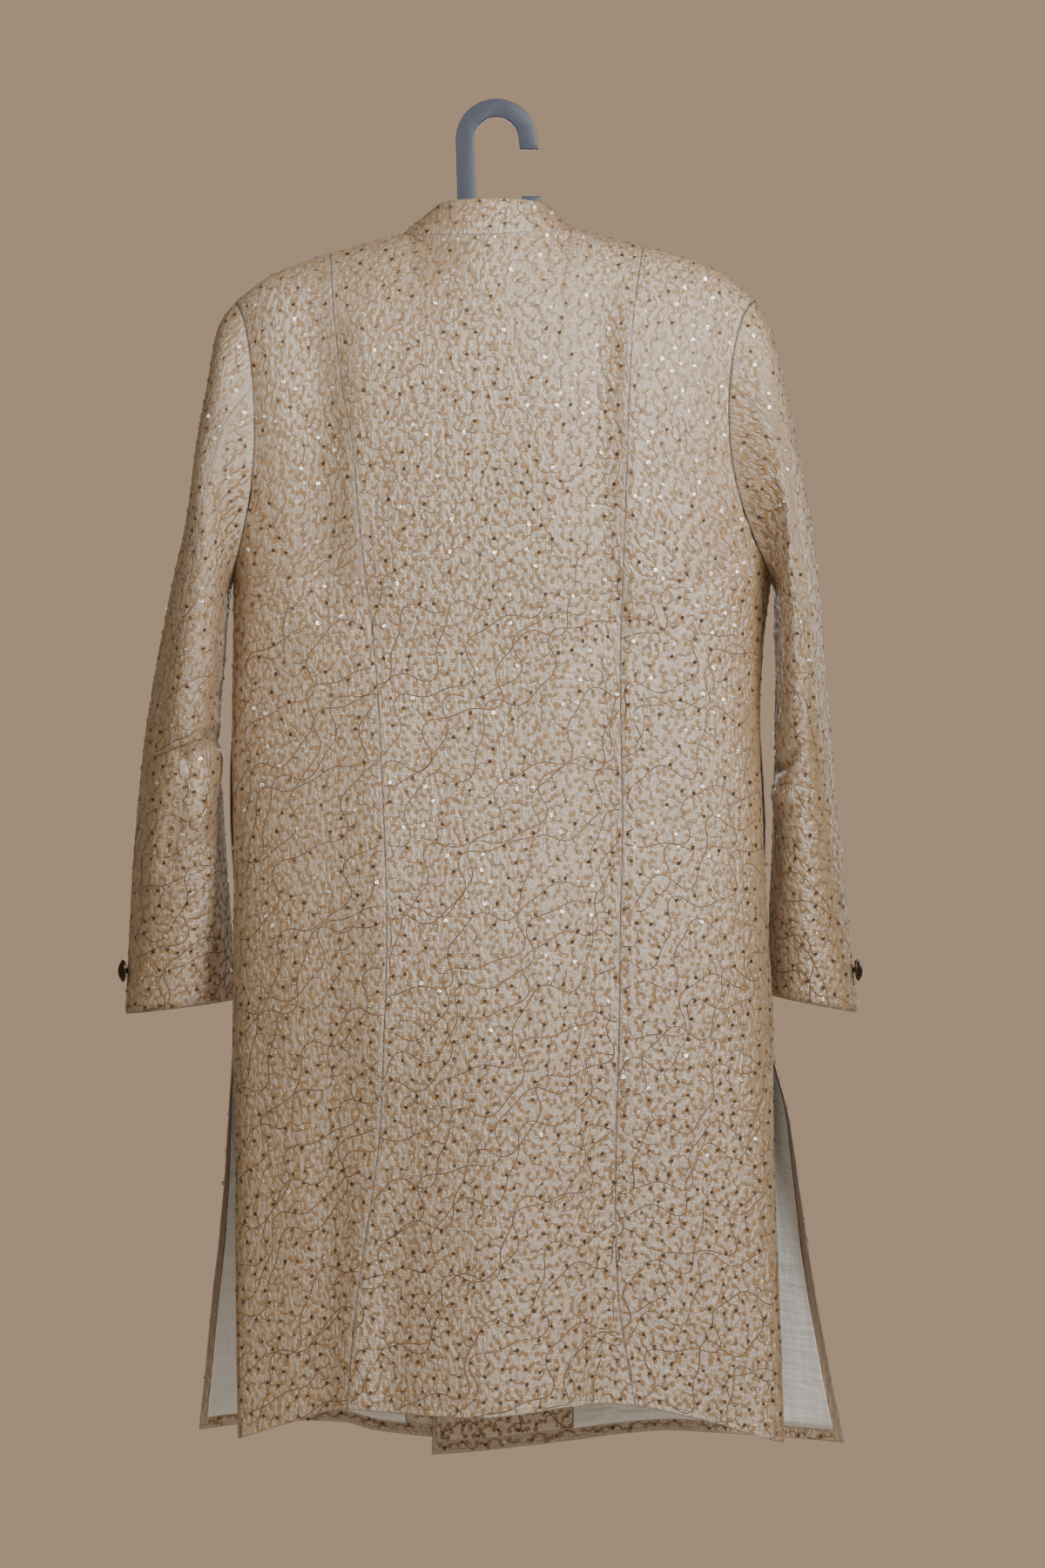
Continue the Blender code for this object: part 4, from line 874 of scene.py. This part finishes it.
BodyPanel = namedtuple("BodyPanel", "name face side low high free")
BODY_PANELS = (
    BodyPanel("back_centre", "back", 1, 1, 4, ("foot",)),
    BodyPanel("back_side_left", "back", 1, 0, 1, ("foot",)),
    BodyPanel("back_side_right", "back", -1, 4, 5, ("foot",)),
    BodyPanel("front_left", "front", 1, 0, 2, ("foot", "end")),
    BodyPanel("front_right", "front", -1, 0, 2, ("foot", "end")),
)
levels = body_levels()
for piece in BODY_PANELS:
    panel, even = body_cloth(piece.face, piece.side, piece.low, piece.high, levels)
    shared = [("top", top_ways(panel))]
    if piece.low == 0:
        shared.append(("start", side_ways(piece.face, piece.side, levels)))
    if piece.high == 5:
        shared.append(("end", side_ways(piece.face, -1, levels)))
    layouts = [flat_layout(even)]
    if piece.face == "front":
        _, hem = body_cloth("front", piece.side, *TURNED_HEM_PLACES, body_levels(*TURNED_HEM_LEVELS))
        layouts.append(inside_of(flat_layout(hem), SHELL_WALL))
    hang_panel(piece.name, panel, raw_silk, "raw_silk", layouts, shared=shared, free=piece.free)

# === Sleeves =================================================================================
# Two-piece sleeves with a few soft folds inside the elbows, hanging a little forward. The top and
# under pieces meet at a seam down the back and one down the front.

ARM_RADIUS, RING_SPACING = 52.0, 62.0
BACK_SEAM_ANGLES = (69, 75, 77, 74, 70, 66, 57, 49, 37, 32, 32)
FRONT_SEAM_ANGLE = 231.0
LAST_RING, SLEEVE_START, SLEEVE_ROWS, SLEEVE_COLUMNS = len(SLEEVE_LEFT) - 1, 0.004, 108, 160

# A fold of a sleeve runs from one ring and angle to another.
SleeveFold = namedtuple("SleeveFold", "top_ring top_angle foot_ring foot_angle width rise")
SLEEVE_FOLDS_LEFT = [SleeveFold(*p) for p in (
    (5.5, 165, 6.6, 104, 9, -5.5),
    (6.6, 104, 8.0, 80, 10, -4.5),
    (6.0, 175, 7.3, 118, 12, 4),
    (4.4, 176, 5.2, 128, 9, -1.2),
    (7.4, 150, 7.9, 118, 7, -1.1),
    (0.5, 130, 2.0, 96, 9, -0.9),
    (5.6, 196, 6.3, 238, 9, -1.6),
    (6.4, 196, 6.9, 250, 8, -1.4),
    (3.0, 20, 5.5, 34, 12, -0.7),
)]
SLEEVE_FOLDS_RIGHT = [SleeveFold(*p) for p in (
    (6.2, 180, 6.4, 112, 8, -5),
    (6.7, 175, 7.0, 120, 9, 4),
    (4.8, 176, 5.3, 140, 8, -1.1),
    (7.2, 178, 7.6, 128, 7, -1.2),
    (0.6, 136, 1.8, 100, 9, -0.9),
    (5.8, 196, 6.4, 246, 9, -1.6),
    (6.6, 196, 7.0, 240, 8, -1.3),
    (2.6, 30, 5.0, 18, 12, -0.7),
)]


def sleeve_rise(side, ring, angle):
    """How far the folds and the ripples move a sleeve's cloth out."""
    turn = np.radians(angle)
    ripple = 0.3 * np.sin(ring * 2.9 + 2 * np.cos(turn)) * np.sin(3 * turn + ring) * ease(ring)
    ripple = ripple + 0.2 * np.sin(9 * turn + 1.4 * np.sin(ring * 1.3)) * ease(ring / 2)
    around = math.radians(ARM_RADIUS)
    creases = [
        Crease(fold.top_ring * RING_SPACING, fold.top_angle * around,
               fold.foot_ring * RING_SPACING, fold.foot_angle * around, fold.width, fold.rise)
        for fold in (SLEEVE_FOLDS_LEFT if side > 0 else SLEEVE_FOLDS_RIGHT)
    ]
    return ripple + crease_rise(creases, ring * RING_SPACING, angle % 360 * around)


rings = np.linspace(SLEEVE_START, LAST_RING, SLEEVE_ROWS)
back_seam = curve(range(len(BACK_SEAM_ANGLES)), BACK_SEAM_ANGLES, rings)
front_seam = FRONT_SEAM_ANGLE + 0 * rings
for side, word in ((1, "left"), (-1, "right")):
    axis = sleeve_point(side, rings[:, None], np.arange(0, 360, 30)[None]).mean(1, keepdims=True)
    for layer, starts, ends in (("top", front_seam - 360, back_seam), ("under", back_seam, front_seam)):
        angles = between(starts[:, None], ends[:, None], np.linspace(0, 1, SLEEVE_COLUMNS)[None])
        dense = sleeve_point(side, rings[:, None], angles)
        ways, _ = ways_out(dense, dense - axis)
        dense = dense + ways * sleeve_rise(side, rings[:, None], angles)[..., None]
        panel, even = lay_out(dense, dense - axis)
        at = panel.points[0] - axis[0]
        turn = np.degrees(np.arctan2(at[:, 1] / ARMHOLE_HALF_DEPTH, at[:, 2] / ARMHOLE_HALF_HEIGHT))
        shared = [("top", armhole_ways(side, turn)[None])]
        hang_panel(f"sleeve_{word}_{layer}", panel, raw_silk, "raw_silk", [flat_layout(even)],
                   shared=shared, free=("foot",))

# === Collar ==================================================================================
# A stand collar of the shell's silk, stiffened between its two layers. It is sewn to the neck seam,
# leans in round the neck and opens at the front.

COLLAR_TOP_X, COLLAR_TOP_HALF_WIDTH = 3.5, 48.5
COLLAR_TOP_BACK_Y, COLLAR_TOP_FRONT_Y = 35.0, 44.0
COLLAR_TOP_Z, COLLAR_TOP_FRONT_DROP = -78.5, 50.0
COLLAR_OPENING, COLLAR_GAP, COLLAR_WALL = 1.2, 0.46, 1.9
COLLAR_CREASES = [Crease(*p) for p in (
    (52, -80, 70, -101, 4, -1.0),
    (-42, -84, -58, -104, 5, -0.8),
    (10, -98, 34, -110, 7, 0.5),
)]
COLLAR_COLUMNS = 420
COLLAR_SHARES = (0, 0.02, 0.06, *np.linspace(0.14, 0.9, 8), 0.96, 0.985, 1)

shares = np.array(COLLAR_SHARES)[:, None]
opening = math.degrees(COLLAR_OPENING / 2 / NECK_HALF_WIDTH)
angles = np.linspace(-90 + opening, 270 - opening, COLLAR_COLUMNS)
turn = np.radians(angles)
foot_x = NECK_X + NECK_HALF_WIDTH * np.cos(turn)
at_back = np.sin(turn) > 0
held_x = np.clip(foot_x, corner_x(-1) + 0.01, corner_x(1) - 0.01)
foot_y, foot_z = np.where(at_back, top_of("back", held_x), top_of("front", held_x))
way = np.where(at_back, 1, -1)
foot = np.stack((foot_x, way * (foot_y + SEAM_GAP / 2), foot_z + COLLAR_GAP), -1)
foot = foot + lap_lift(foot_x, 0 * foot_x) * (~at_back & (np.cos(turn) > 0))[:, None]
top_y = np.where(at_back, COLLAR_TOP_BACK_Y, COLLAR_TOP_FRONT_Y) * np.sin(turn)
drop = np.where(at_back, 0, COLLAR_TOP_FRONT_DROP * np.abs(np.sin(turn)) ** NECK_FRONT_POWER)
top = np.stack((COLLAR_TOP_X + COLLAR_TOP_HALF_WIDTH * np.cos(turn), top_y, COLLAR_TOP_Z - drop), -1)
stand = between(foot[None], top[None], shares[..., None])
outward = np.stack((np.cos(turn), np.sin(turn), 0 * turn), -1)[None]
ways, _ = ways_out(stand, outward)
rise = crease_rise(COLLAR_CREASES, stand[..., 0], stand[..., 2]) * (stand[..., 1] > 0)
panel, even = lay_out(stand + ways * (rise * np.sin(np.pi * shares) ** 0.5)[..., None], outward)
hang_panel("collar", panel, raw_silk, "raw_silk", [flat_layout(even)], wall=COLLAR_WALL,
           shared=[("top", top_ways(panel))], free=("foot", "start", "end"))

# === Facings and linings =====================================================================
# The fronts are faced with plain silk down their free edges, and their skirts are lined with
# grey-white satin. Both hang just inside the shell, sewn in along their edges.

LAYER_DEPTH, LAYER_WALL = 1.8, 0.8
FACING_TOP, LINING_TOP_Z = 0.15, -785.0
FACING_PLACES, LINING_PLACES = (1, 1.975), (0.03, 0.997)
SATIN_CREASE_DEPTH = 2.2 * MM

satin_lining, tree, shader = new_material("satin_lining", {"Specular IOR Level": 0.75, "Sheen Weight": 0.1})
place = cloth_place(tree)
dress(tree, shader, mix_colours(tree, marks(tree, place, 60, 30), (0.74, 0.74, 0.72), (0.86, 0.86, 0.84)),
      spread(tree, marks(tree, place, 0.8, 0.8), 0.08, 0.3),
      maths(tree, "ADD", marks(tree, place, 46, 9, 3), marks(tree, place, 15, 60, 3)), SATIN_CREASE_DEPTH)

# The facings' silk is the shell's raw silk painted lighter: painted light where the back's hem keeps the
# lamps off them.
facing_silk = silk_material("facing_silk", (0.62, 0.45, 0.27), (0.46, 0.31, 0.17), 0.22, 2.2)
layer = {"wall": LAYER_WALL, "depth": LAYER_DEPTH, "free": ("top", "foot", "start", "end")}
for side, word in ((1, "left"), (-1, "right")):
    panel, even = body_cloth("front", side, *FACING_PLACES, body_levels(FACING_TOP, TURNED_HEM_LEVEL))
    layouts = [inside_of(flat_layout(even), LAYER_DEPTH + LAYER_WALL)]
    hang_panel("front_facing_" + word, panel, facing_silk, "facing_silk", layouts, **layer)
    levels = body_levels(level_of(LINING_TOP_Z), TURNED_HEM_LEVEL)
    panel, even = body_cloth("front", side, *LINING_PLACES, levels)
    lining = hang_panel("front_lining_" + word, panel, satin_lining, "satin_lining", **layer)
    flat_layout(even)

# === Embroidery ==============================================================================
# Thin brown vines scroll over the shell, the facings and the turned hems and branch to tan buds,
# with ring sequins at their nodes. Each panel's sewing is laid out flat, clear of its seams, and
# set on the hung cloth.

STEM_SPACING, STEM_SHIFT, STEM_STEP, STEM_TILT, STEM_EXTRA = 36.0, 7.0, 4.2, 46.0, 1.25
STEM_FOOT, STEM_WAVES = 5.0, ((0.85, 19), (0.5, 8.3))
STEM_WIDTH, TENDRIL_WIDTH, THREAD_HEIGHT = 1.25, 1.05, 0.34
SHORTEST_TENDRIL, TENDRIL_BOW = 3.0, 0.25
NEAR_BUDS, NEARER_BY, NEARER_SHARE = 7, 1.5, 0.85
BUD_PITCH, BUD_ROWS, BUD_SCATTER, BUD_LEAN = 8.1, 0.87, 0.36, 0.42
BUD_LENGTH, BUD_WIDTH, BUD_HEIGHT, BUD_SIZES = 6.2, 4.9, 0.5, (0.82, 1.15)
SEWING_MARGIN, THREAD_SINK = 0.8, 0.08
SEQUIN_SPACING, SEQUIN_TILT, SEQUIN_SIZES = 10.4, 0.27, (0.9, 1.1)
SEQUIN_RADII, SEQUIN_LIFTS = np.array((1.75, 1.2, 0.7)), np.array((0.6, 0.7, 0.62))
SHAPE_SIDES, LAYOUT_GAP = 6, 3.0
# The sequins are real silver and bronze, but the share of silver ones grows with height as a painted
# highlight, where the light falls from above.
SILVER_GLINT_SHARE, SILVER_FOOT_Z, SILVER_RUN = 0.6, -1250.0, 900.0


def blend_at(grid, row, column):
    """A grid's values between its rows and columns."""
    i, j = np.minimum(row.astype(int), len(grid) - 2), np.minimum(column.astype(int), grid.shape[1] - 2)
    down, over = row - i, column - j
    if grid.ndim == 3:
        down, over = down[..., None], over[..., None]
    upper, lower = (between(grid[k, j], grid[k, j + 1], over) for k in (i, i + 1))
    return between(upper, lower, down)


def find_places(layout, spots):
    """The row and column of a layout's grid under each flat spot."""
    rows, columns = layout.across.shape
    steps = np.gradient(layout.across, axis=1)
    row = np.clip(spots[..., 1] / layout.step, 0, rows - 1)
    column = np.full_like(row, columns // 2)
    for _ in range(8):
        missing = spots[..., 0] - blend_at(layout.across, row, column)
        column = np.clip(column + missing / blend_at(steps, row, column), 0, columns - 1)
    return row, column


def inside_panel(layout, spots, margin=SEWING_MARGIN):
    row, column = find_places(layout, spots)
    rows, columns = layout.across.shape
    start, end = (np.interp(row, np.arange(rows), layout.across[:, j]) for j in (0, -1))
    beside = margin / CLOTH_STEP
    tops = (np.interp(column + over, np.arange(columns), layout.tops) for over in (-beside, beside))
    top = np.maximum(*tops)
    down = (spots[..., 1] > top + margin) & (spots[..., 1] < layout.step * (rows - 1) - margin)
    return (spots[..., 0] > start + margin) & (spots[..., 0] < end - margin) & down


def set_on_cloth(layout, middles, steps, heights, faces):
    """Shapes on the hung cloth, at true steps across and down it from flat spots and so high
    above it: their flat spots, their points and their faces, turned outwards."""
    middles = np.broadcast_to(middles, steps.shape)
    row, column = find_places(layout, middles)
    down, over = (blend_at(np.gradient(layout.points, axis=k), row, column) for k in (0, 1))
    falls = unit(down)
    square = unit(over - (over * falls).sum(-1, keepdims=True) * falls)
    reach = square * steps[..., :1] + falls * steps[..., 1:]
    overs, mixed, downs = (over * over).sum(-1), (over * down).sum(-1), (down * down).sum(-1)
    across, along = (over * reach).sum(-1), (down * reach).sum(-1)
    share = np.maximum(overs * downs - mixed**2, 1e-9)
    rows, columns = layout.across.shape
    row = np.clip(row + (overs * along - mixed * across) / share, 0, rows - 1)
    column = np.clip(column + (downs * across - mixed * along) / share, 0, columns - 1)
    raised = unit(blend_at(layout.ways, row, column)) * np.broadcast_to(heights, row.shape)[..., None]
    points = blend_at(layout.points, row, column) + raised
    return (middles + steps).reshape(-1, 2), points.reshape(-1, 3), faces[:, :: -layout.turn]


def wander(random, layout):
    """Long stems that wander over the panel, as chains of flat spots."""
    length, half = flat_size(layout)
    lean = math.radians(STEM_TILT)
    steps = np.arange(0, length * STEM_EXTRA, STEM_STEP)
    stems = []
    for start in np.arange(-half - abs(math.tan(lean)) * length, half, STEM_SPACING):
        phase = random.uniform(0, 6.3, 3)
        waves = (turn * np.sin(steps / run + shift) for (turn, run), shift in zip(STEM_WAVES, phase))
        heading = sum(waves, lean)
        u = start + random.uniform(-STEM_SHIFT, STEM_SHIFT) + np.cumsum(np.sin(heading)) * STEM_STEP
        spots = np.stack((u, length + STEM_FOOT - np.cumsum(np.cos(heading)) * STEM_STEP), -1)
        kept = inside_panel(layout, spots)
        for run in np.split(np.arange(len(spots)), np.flatnonzero(np.diff(kept.astype(int))) + 1):
            if kept[run[0]] and len(run) > 1:
                stems.append(spots[run])
    return stems


def scatter_buds(random, layout):
    """Buds in staggered rows, each a little out of its place."""
    length, half = flat_size(layout)
    spots = []
    for i, v in enumerate(np.arange(SEWING_MARGIN + 3, length, BUD_PITCH * BUD_ROWS)):
        u = np.arange(-half, half, BUD_PITCH) + (i % 2) * BUD_PITCH / 2
        spots.append(np.stack((u, v + 0 * u), -1))
    spots = np.concatenate(spots)
    spots = spots + random.normal(0, BUD_SCATTER * BUD_PITCH / 2, spots.shape)
    return spots[inside_panel(layout, spots, SEWING_MARGIN + BUD_WIDTH * 0.3)]


def tree_of(spots):
    tree = kdtree.KDTree(len(spots))
    for i, spot in enumerate(spots):
        tree.insert((*spot, 0), i)
    tree.balance()
    return tree


def join_buds(stems, buds):
    """The spot that each bud's tendril springs from: a stem's, or a bud's that is nearer to one."""
    nodes = np.concatenate(stems)
    stem_tree, bud_tree = tree_of(nodes), tree_of(buds)
    nearest = [stem_tree.find((*bud, 0)) for bud in buds]
    roots = np.array([nodes[i] for _, i, _ in nearest])
    away = [distance for _, _, distance in nearest]
    for i, bud in enumerate(buds):
        for _, j, distance in bud_tree.find_n((*bud, 0), NEAR_BUDS)[1:]:
            if away[j] < away[i] - NEARER_BY and distance < away[i] * NEARER_SHARE:
                roots[i] = buds[j]
                break
    return roots


def thread(layout, chains, width):
    """Raised threads along equal chains of spots, each point with two sunk sides and a crest."""
    along = unit(np.gradient(chains, axis=1))
    side = np.stack((-along[..., 1], along[..., 0]), -1) * width / 2
    steps = np.stack((-side, 0 * side, side), 2)
    index = np.arange(steps[..., 0].size).reshape(steps.shape[:3])
    heights = (-THREAD_SINK, THREAD_HEIGHT, -THREAD_SINK)
    return set_on_cloth(layout, chains[:, :, None], steps, heights, quads_of(index))


def compass(sides):
    turn = np.linspace(0, 2 * math.pi, sides, endpoint=False)
    return np.cos(turn), np.sin(turn)


def bud_shapes(random, layout, buds):
    """Oval buds, mostly upright, domed in the middle and sunk at the rim."""
    count = len(buds)
    down, over = compass(SHAPE_SIDES)
    size = random.uniform(*BUD_SIZES, (count, 1))
    u, v = over * BUD_WIDTH / 2 * size, -down * BUD_LENGTH / 2 * size
    lean = random.normal(0, BUD_LEAN, (count, 1))
    oval = np.stack((u * np.cos(lean) - v * np.sin(lean), u * np.sin(lean) + v * np.cos(lean)), -1)
    steps = np.concatenate((oval, np.zeros((count, 1, 2))), 1)
    index = np.arange(count * (SHAPE_SIDES + 1)).reshape(count, -1)
    around = index[:, :-1]
    faces = np.stack((around, np.roll(around, -1, 1), np.repeat(index[:, -1:], SHAPE_SIDES, 1)), -1)
    heights = [-THREAD_SINK] * SHAPE_SIDES + [BUD_HEIGHT]
    return set_on_cloth(layout, buds[:, None], steps, heights, faces.reshape(-1, 3))


def sequin_shapes(random, layout, nodes):
    """Ring sequins of three-sided section, each a little tilted."""
    count = len(nodes)
    ring = np.stack(compass(SHAPE_SIDES), -1)[None, :, None] * SEQUIN_RADII[:, None]
    ring = ring * random.uniform(*SEQUIN_SIZES, (count, 1, 1, 1))
    heights = SEQUIN_LIFTS + (ring * random.normal(0, SEQUIN_TILT, (count, 1, 1, 2))).sum(-1)
    index = np.arange(count * SHAPE_SIDES * 3).reshape(count, SHAPE_SIDES, 3)
    after = np.roll(index, -1, 1)
    quads = np.stack((index, after, np.roll(after, -1, 2), np.roll(index, -1, 2)), -1).reshape(-1, 4)
    return set_on_cloth(layout, nodes[:, None, None], ring, heights, quads)


def sew(name, shapes, looks, smooth):
    """One mesh of all the shapes sewn on a piece, each with its look and how far down its layout's
    map lies."""
    spots, points, faces, which = [], [], [], []
    start = 0
    for (flat, placed, corners), look, below in shapes:
        spots.append(flat + (0, below))
        points.append(placed)
        faces += (corners + start).tolist()
        which += [look] * len(corners)
        start += len(placed)
    mesh = bpy.data.meshes.new(name)
    mesh.from_pydata((np.concatenate(points) * MM).tolist(), [], faces)
    mesh.polygons.foreach_set("use_smooth", [smooth] * len(faces))
    mesh.polygons.foreach_set("material_index", which)
    corners = np.empty(len(mesh.loops), np.int32)
    mesh.loops.foreach_get("vertex_index", corners)
    u, v = np.concatenate(spots).T
    flat = np.stack((u / np.abs(u).max() / 2 + 0.5, 1 - v / v.max()), -1)
    add_map(mesh, "OFBake", within_border(flat[corners]))
    for look in looks:
        mesh.materials.append(look)
    piece = add_object(name, mesh)
    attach(piece, "root")
    return piece


def thread_material(name, light, dark, rough):
    """Satin-stitched thread, with fine stitches across it and its colour varying over the cloth."""
    material, tree, shader = new_material(name, {"Sheen Weight": 0.2, "Sheen Roughness": 0.4})
    place = object_place(tree)
    broad = maths(tree, "MULTIPLY", marks(tree, place, 90, 120), 0.4)
    tone = maths(tree, "MULTIPLY_ADD", marks(tree, place, 9, 9), 0.6, broad)
    dress(tree, shader, mix_colours(tree, tone, dark, light), rough, marks(tree, place, 2.2, 0.35), 0.12 * MM)
    return material


def sequin_material(name, light, dark, metallic, rough):
    """Pressed sequins, each a little lighter or darker than the next."""
    material, tree, shader = new_material(name, {"Metallic": metallic})
    dress(tree, shader, mix_colours(tree, marks(tree, object_place(tree), 4, 4, 0), dark, light), rough)
    return material


vine_looks = (
    thread_material("vine_thread", (0.19, 0.105, 0.05), (0.11, 0.06, 0.027), 0.6),
    thread_material("bud_thread", (0.42, 0.265, 0.13), (0.28, 0.17, 0.08), 0.5),
)
sequin_looks = (
    sequin_material("bronze_sequin", (0.2, 0.135, 0.085), (0.1, 0.065, 0.04), 0.85, 0.35),
    sequin_material("silver_sequin", (0.96, 0.95, 0.93), (0.88, 0.86, 0.83), 1.0, 0.34),
)

for number, (cloth, layouts, slot) in enumerate(embroidered):
    random = np.random.RandomState(40 + number)
    threads, rings, below = [], [], 0.0
    for layout in layouts:
        stems = wander(random, layout)
        buds = scatter_buds(random, layout)
        roots = join_buds(stems, buds)
        chord = buds - roots
        bow = np.stack((-chord[:, 1], chord[:, 0]), -1)
        bow = bow * random.choice((-TENDRIL_BOW, TENDRIL_BOW), (len(buds), 1))
        tendrils = np.stack((roots, (roots + buds) / 2 + bow, buds), 1)
        tendrils = tendrils[np.linalg.norm(chord, axis=1) > SHORTEST_TENDRIL]
        threads += [(thread(layout, stem[None], STEM_WIDTH), 0, below) for stem in stems]
        threads.append((thread(layout, tendrils, TENDRIL_WIDTH), 0, below))
        threads.append((bud_shapes(random, layout, buds), 1, below))
        nodes = []
        for node in random.permutation(tendrils[:, 1]):
            if not nodes or np.linalg.norm(np.array(nodes) - node, axis=1).min() > SEQUIN_SPACING:
                nodes.append(node)
        nodes = np.array(nodes)
        # Painted highlight: more of the sequins are silver the higher they sit.
        height = blend_at(layout.points, *find_places(layout, nodes))[:, 2]
        share = SILVER_GLINT_SHARE * ease((height - SILVER_FOOT_Z) / SILVER_RUN)
        silvery = random.uniform(0, 1, len(nodes)) < share
        for look in (0, 1):
            rings.append((sequin_shapes(random, layout, nodes[silvery == look]), look, below))
        below += flat_size(layout)[0] + LAYOUT_GAP
    vines = sew(cloth.name.replace("cloth", "vines"), threads, vine_looks, True)
    sequins = sew(cloth.name.replace("cloth", "sequins"), rings, sequin_looks, False)

# === Buttons =================================================================================
# Dark antique metal buttons, turned with a rim and a dome, stand on short shanks at the cuffs and
# down the lap of the left front.

BUTTON_STEPS, BUTTON_CLEARANCE = 40, 0.3
BUTTON_PROFILE = (
    (0, 0), (1.9, 0), (2.3, 0.3), (2.4, 1.2), (2.4, 2.3), (5.5, 2.6), (8.6, 2.9), (9.8, 3.5), (10.35, 4.2),
    (10.45, 4.8), (10.1, 5.4), (9.5, 5.65), (9.05, 5.5), (8.8, 5.65), (8.2, 6.35), (6.8, 7.4), (5.0, 8.2),
    (2.8, 8.75), (1.2, 8.95), (0, 9),
)
FRONT_BUTTON_COUNT, FRONT_BUTTON_TOP_Z, FRONT_BUTTON_SPACING = 7, -190.0, 82.0
CUFF_BUTTON_RING, CUFF_BUTTON_ANGLE = 9.5, 14.0
HALVINGS, LEVELS_BESIDE, RINGS_BESIDE = 30, 0.01, 0.02

antique_metal, tree, shader = new_material("antique_metal", {"Metallic": 1.0})
place = object_place(tree)
worn = spread(tree, marks(tree, place, 3.5, 3.5, 3), 4.0, -1.68, clamp=True)
dress(tree, shader, mix_colours(tree, worn, (0.045, 0.036, 0.03), (0.23, 0.17, 0.105)),
      spread(tree, worn, -0.2, 0.5), marks(tree, place, 0.9, 0.9), 0.15 * MM)


def select_only(piece):
    bpy.ops.object.select_all(action="DESELECT")
    piece.select_set(True)
    bpy.context.view_layer.objects.active = piece


def apply_modifier(piece, kind, **settings):
    modifier = piece.modifiers.new(kind.lower(), kind)
    for word, value in settings.items():
        setattr(modifier, word, value)
    bpy.ops.object.modifier_apply(modifier=modifier.name)


def copy_of(shape, name):
    """A copy of a shape with a mesh of its own, alone selected."""
    copy = shape.copy()
    copy.data = shape.data.copy()
    copy.name = name
    bpy.context.scene.collection.objects.link(copy)
    select_only(copy)
    return copy


def turned_button():
    mesh = bpy.data.meshes.new("button")
    points = [(radius * MM, 0, height * MM) for radius, height in BUTTON_PROFILE]
    mesh.from_pydata(points, [(i, i + 1) for i in range(len(points) - 1)], [])
    button = add_object("button", mesh)
    select_only(button)
    apply_modifier(button, "SCREW", steps=BUTTON_STEPS, render_steps=BUTTON_STEPS,
                   use_merge_vertices=True, merge_threshold=0.00001, use_normal_calculate=True)
    bpy.ops.object.shade_smooth()
    button.data.materials.append(antique_metal)
    return button


def lap_place(x, z):
    """The place across and the level of a point on the left front's lap."""
    low, high = 0.0, 2.0
    for _ in range(HALVINGS):
        level = (low + high) / 2
        across = 1 + (corner_x(1) - x) / (corner_x(1) - lap_edge_x(1, level))
        if body_point("front", 1, across, level)[2] > z:
            low = level
        else:
            high = level
    return across, level


button = turned_button()
seats = []
step = np.array((-1, 0, 1))
for number in range(FRONT_BUTTON_COUNT):
    across, level = lap_place(NECK_X, FRONT_BUTTON_TOP_Z - number * FRONT_BUTTON_SPACING)
    near = body_point("front", 1, across + LEVELS_BESIDE * step[None], level + LEVELS_BESIDE * step[:, None])
    seats.append((f"front_button_{number + 1}", near, np.array((0, -1.0, 0.2))))
for side, word in ((1, "left"), (-1, "right")):
    near = sleeve_point(side, CUFF_BUTTON_RING + RINGS_BESIDE * step[:, None], CUFF_BUTTON_ANGLE + step[None])
    seats.append(("cuff_button_" + word, near, np.array((side, 0.2, 0.2))))
for name, near, outward in seats:
    way = ways_out(near, outward)[0][1, 1]
    piece = copy_of(button, name + "_turned")
    piece.location = Vector(near[1, 1] + way * BUTTON_CLEARANCE) * MM
    piece.rotation_euler = Vector(way).to_track_quat("Z", "Y").to_euler()
    bpy.ops.object.transform_apply(location=True, rotation=True, scale=True)
    finish_piece(piece, "antique_metal", name)
bpy.data.objects.remove(button)

# === Hanger ==================================================================================
# One slate-blue plastic moulding, a flat hook on two broad arms that carry the shoulders. Its
# edges are rounded as the mould leaves them.

HANGER_ROUNDING, SHARP_ANGLE = 1.1 * MM, math.radians(35)

slate_plastic, tree, shader = new_material("slate_plastic", {})
place = object_place(tree)
slate = mix_colours(tree, marks(tree, place, 18, 30, 3), (0.052, 0.06, 0.082), (0.07, 0.08, 0.108))
dress(tree, shader, slate, spread(tree, marks(tree, place, 6, 25, 3), 0.14, 0.36),
      marks(tree, place, 0.7, 0.7), 0.05 * MM)

hanger = copy_of(bpy.data.objects["hanger"], "hanger_moulding")
bpy.ops.object.mode_set(mode="EDIT")
bpy.ops.mesh.select_all(action="SELECT")
bpy.ops.mesh.remove_doubles(threshold=0.00002)
bpy.ops.mesh.dissolve_limited(angle_limit=math.radians(1))
bpy.ops.object.mode_set(mode="OBJECT")
apply_modifier(hanger, "BEVEL", width=HANGER_ROUNDING, segments=3, limit_method="ANGLE",
               angle_limit=SHARP_ANGLE, use_clamp_overlap=True)
bpy.ops.object.shade_smooth_by_angle(angle=SHARP_ANGLE)
hanger.data.materials.clear()
hanger.data.materials.append(slate_plastic)
finish_piece(hanger, "slate_plastic", "hanger")
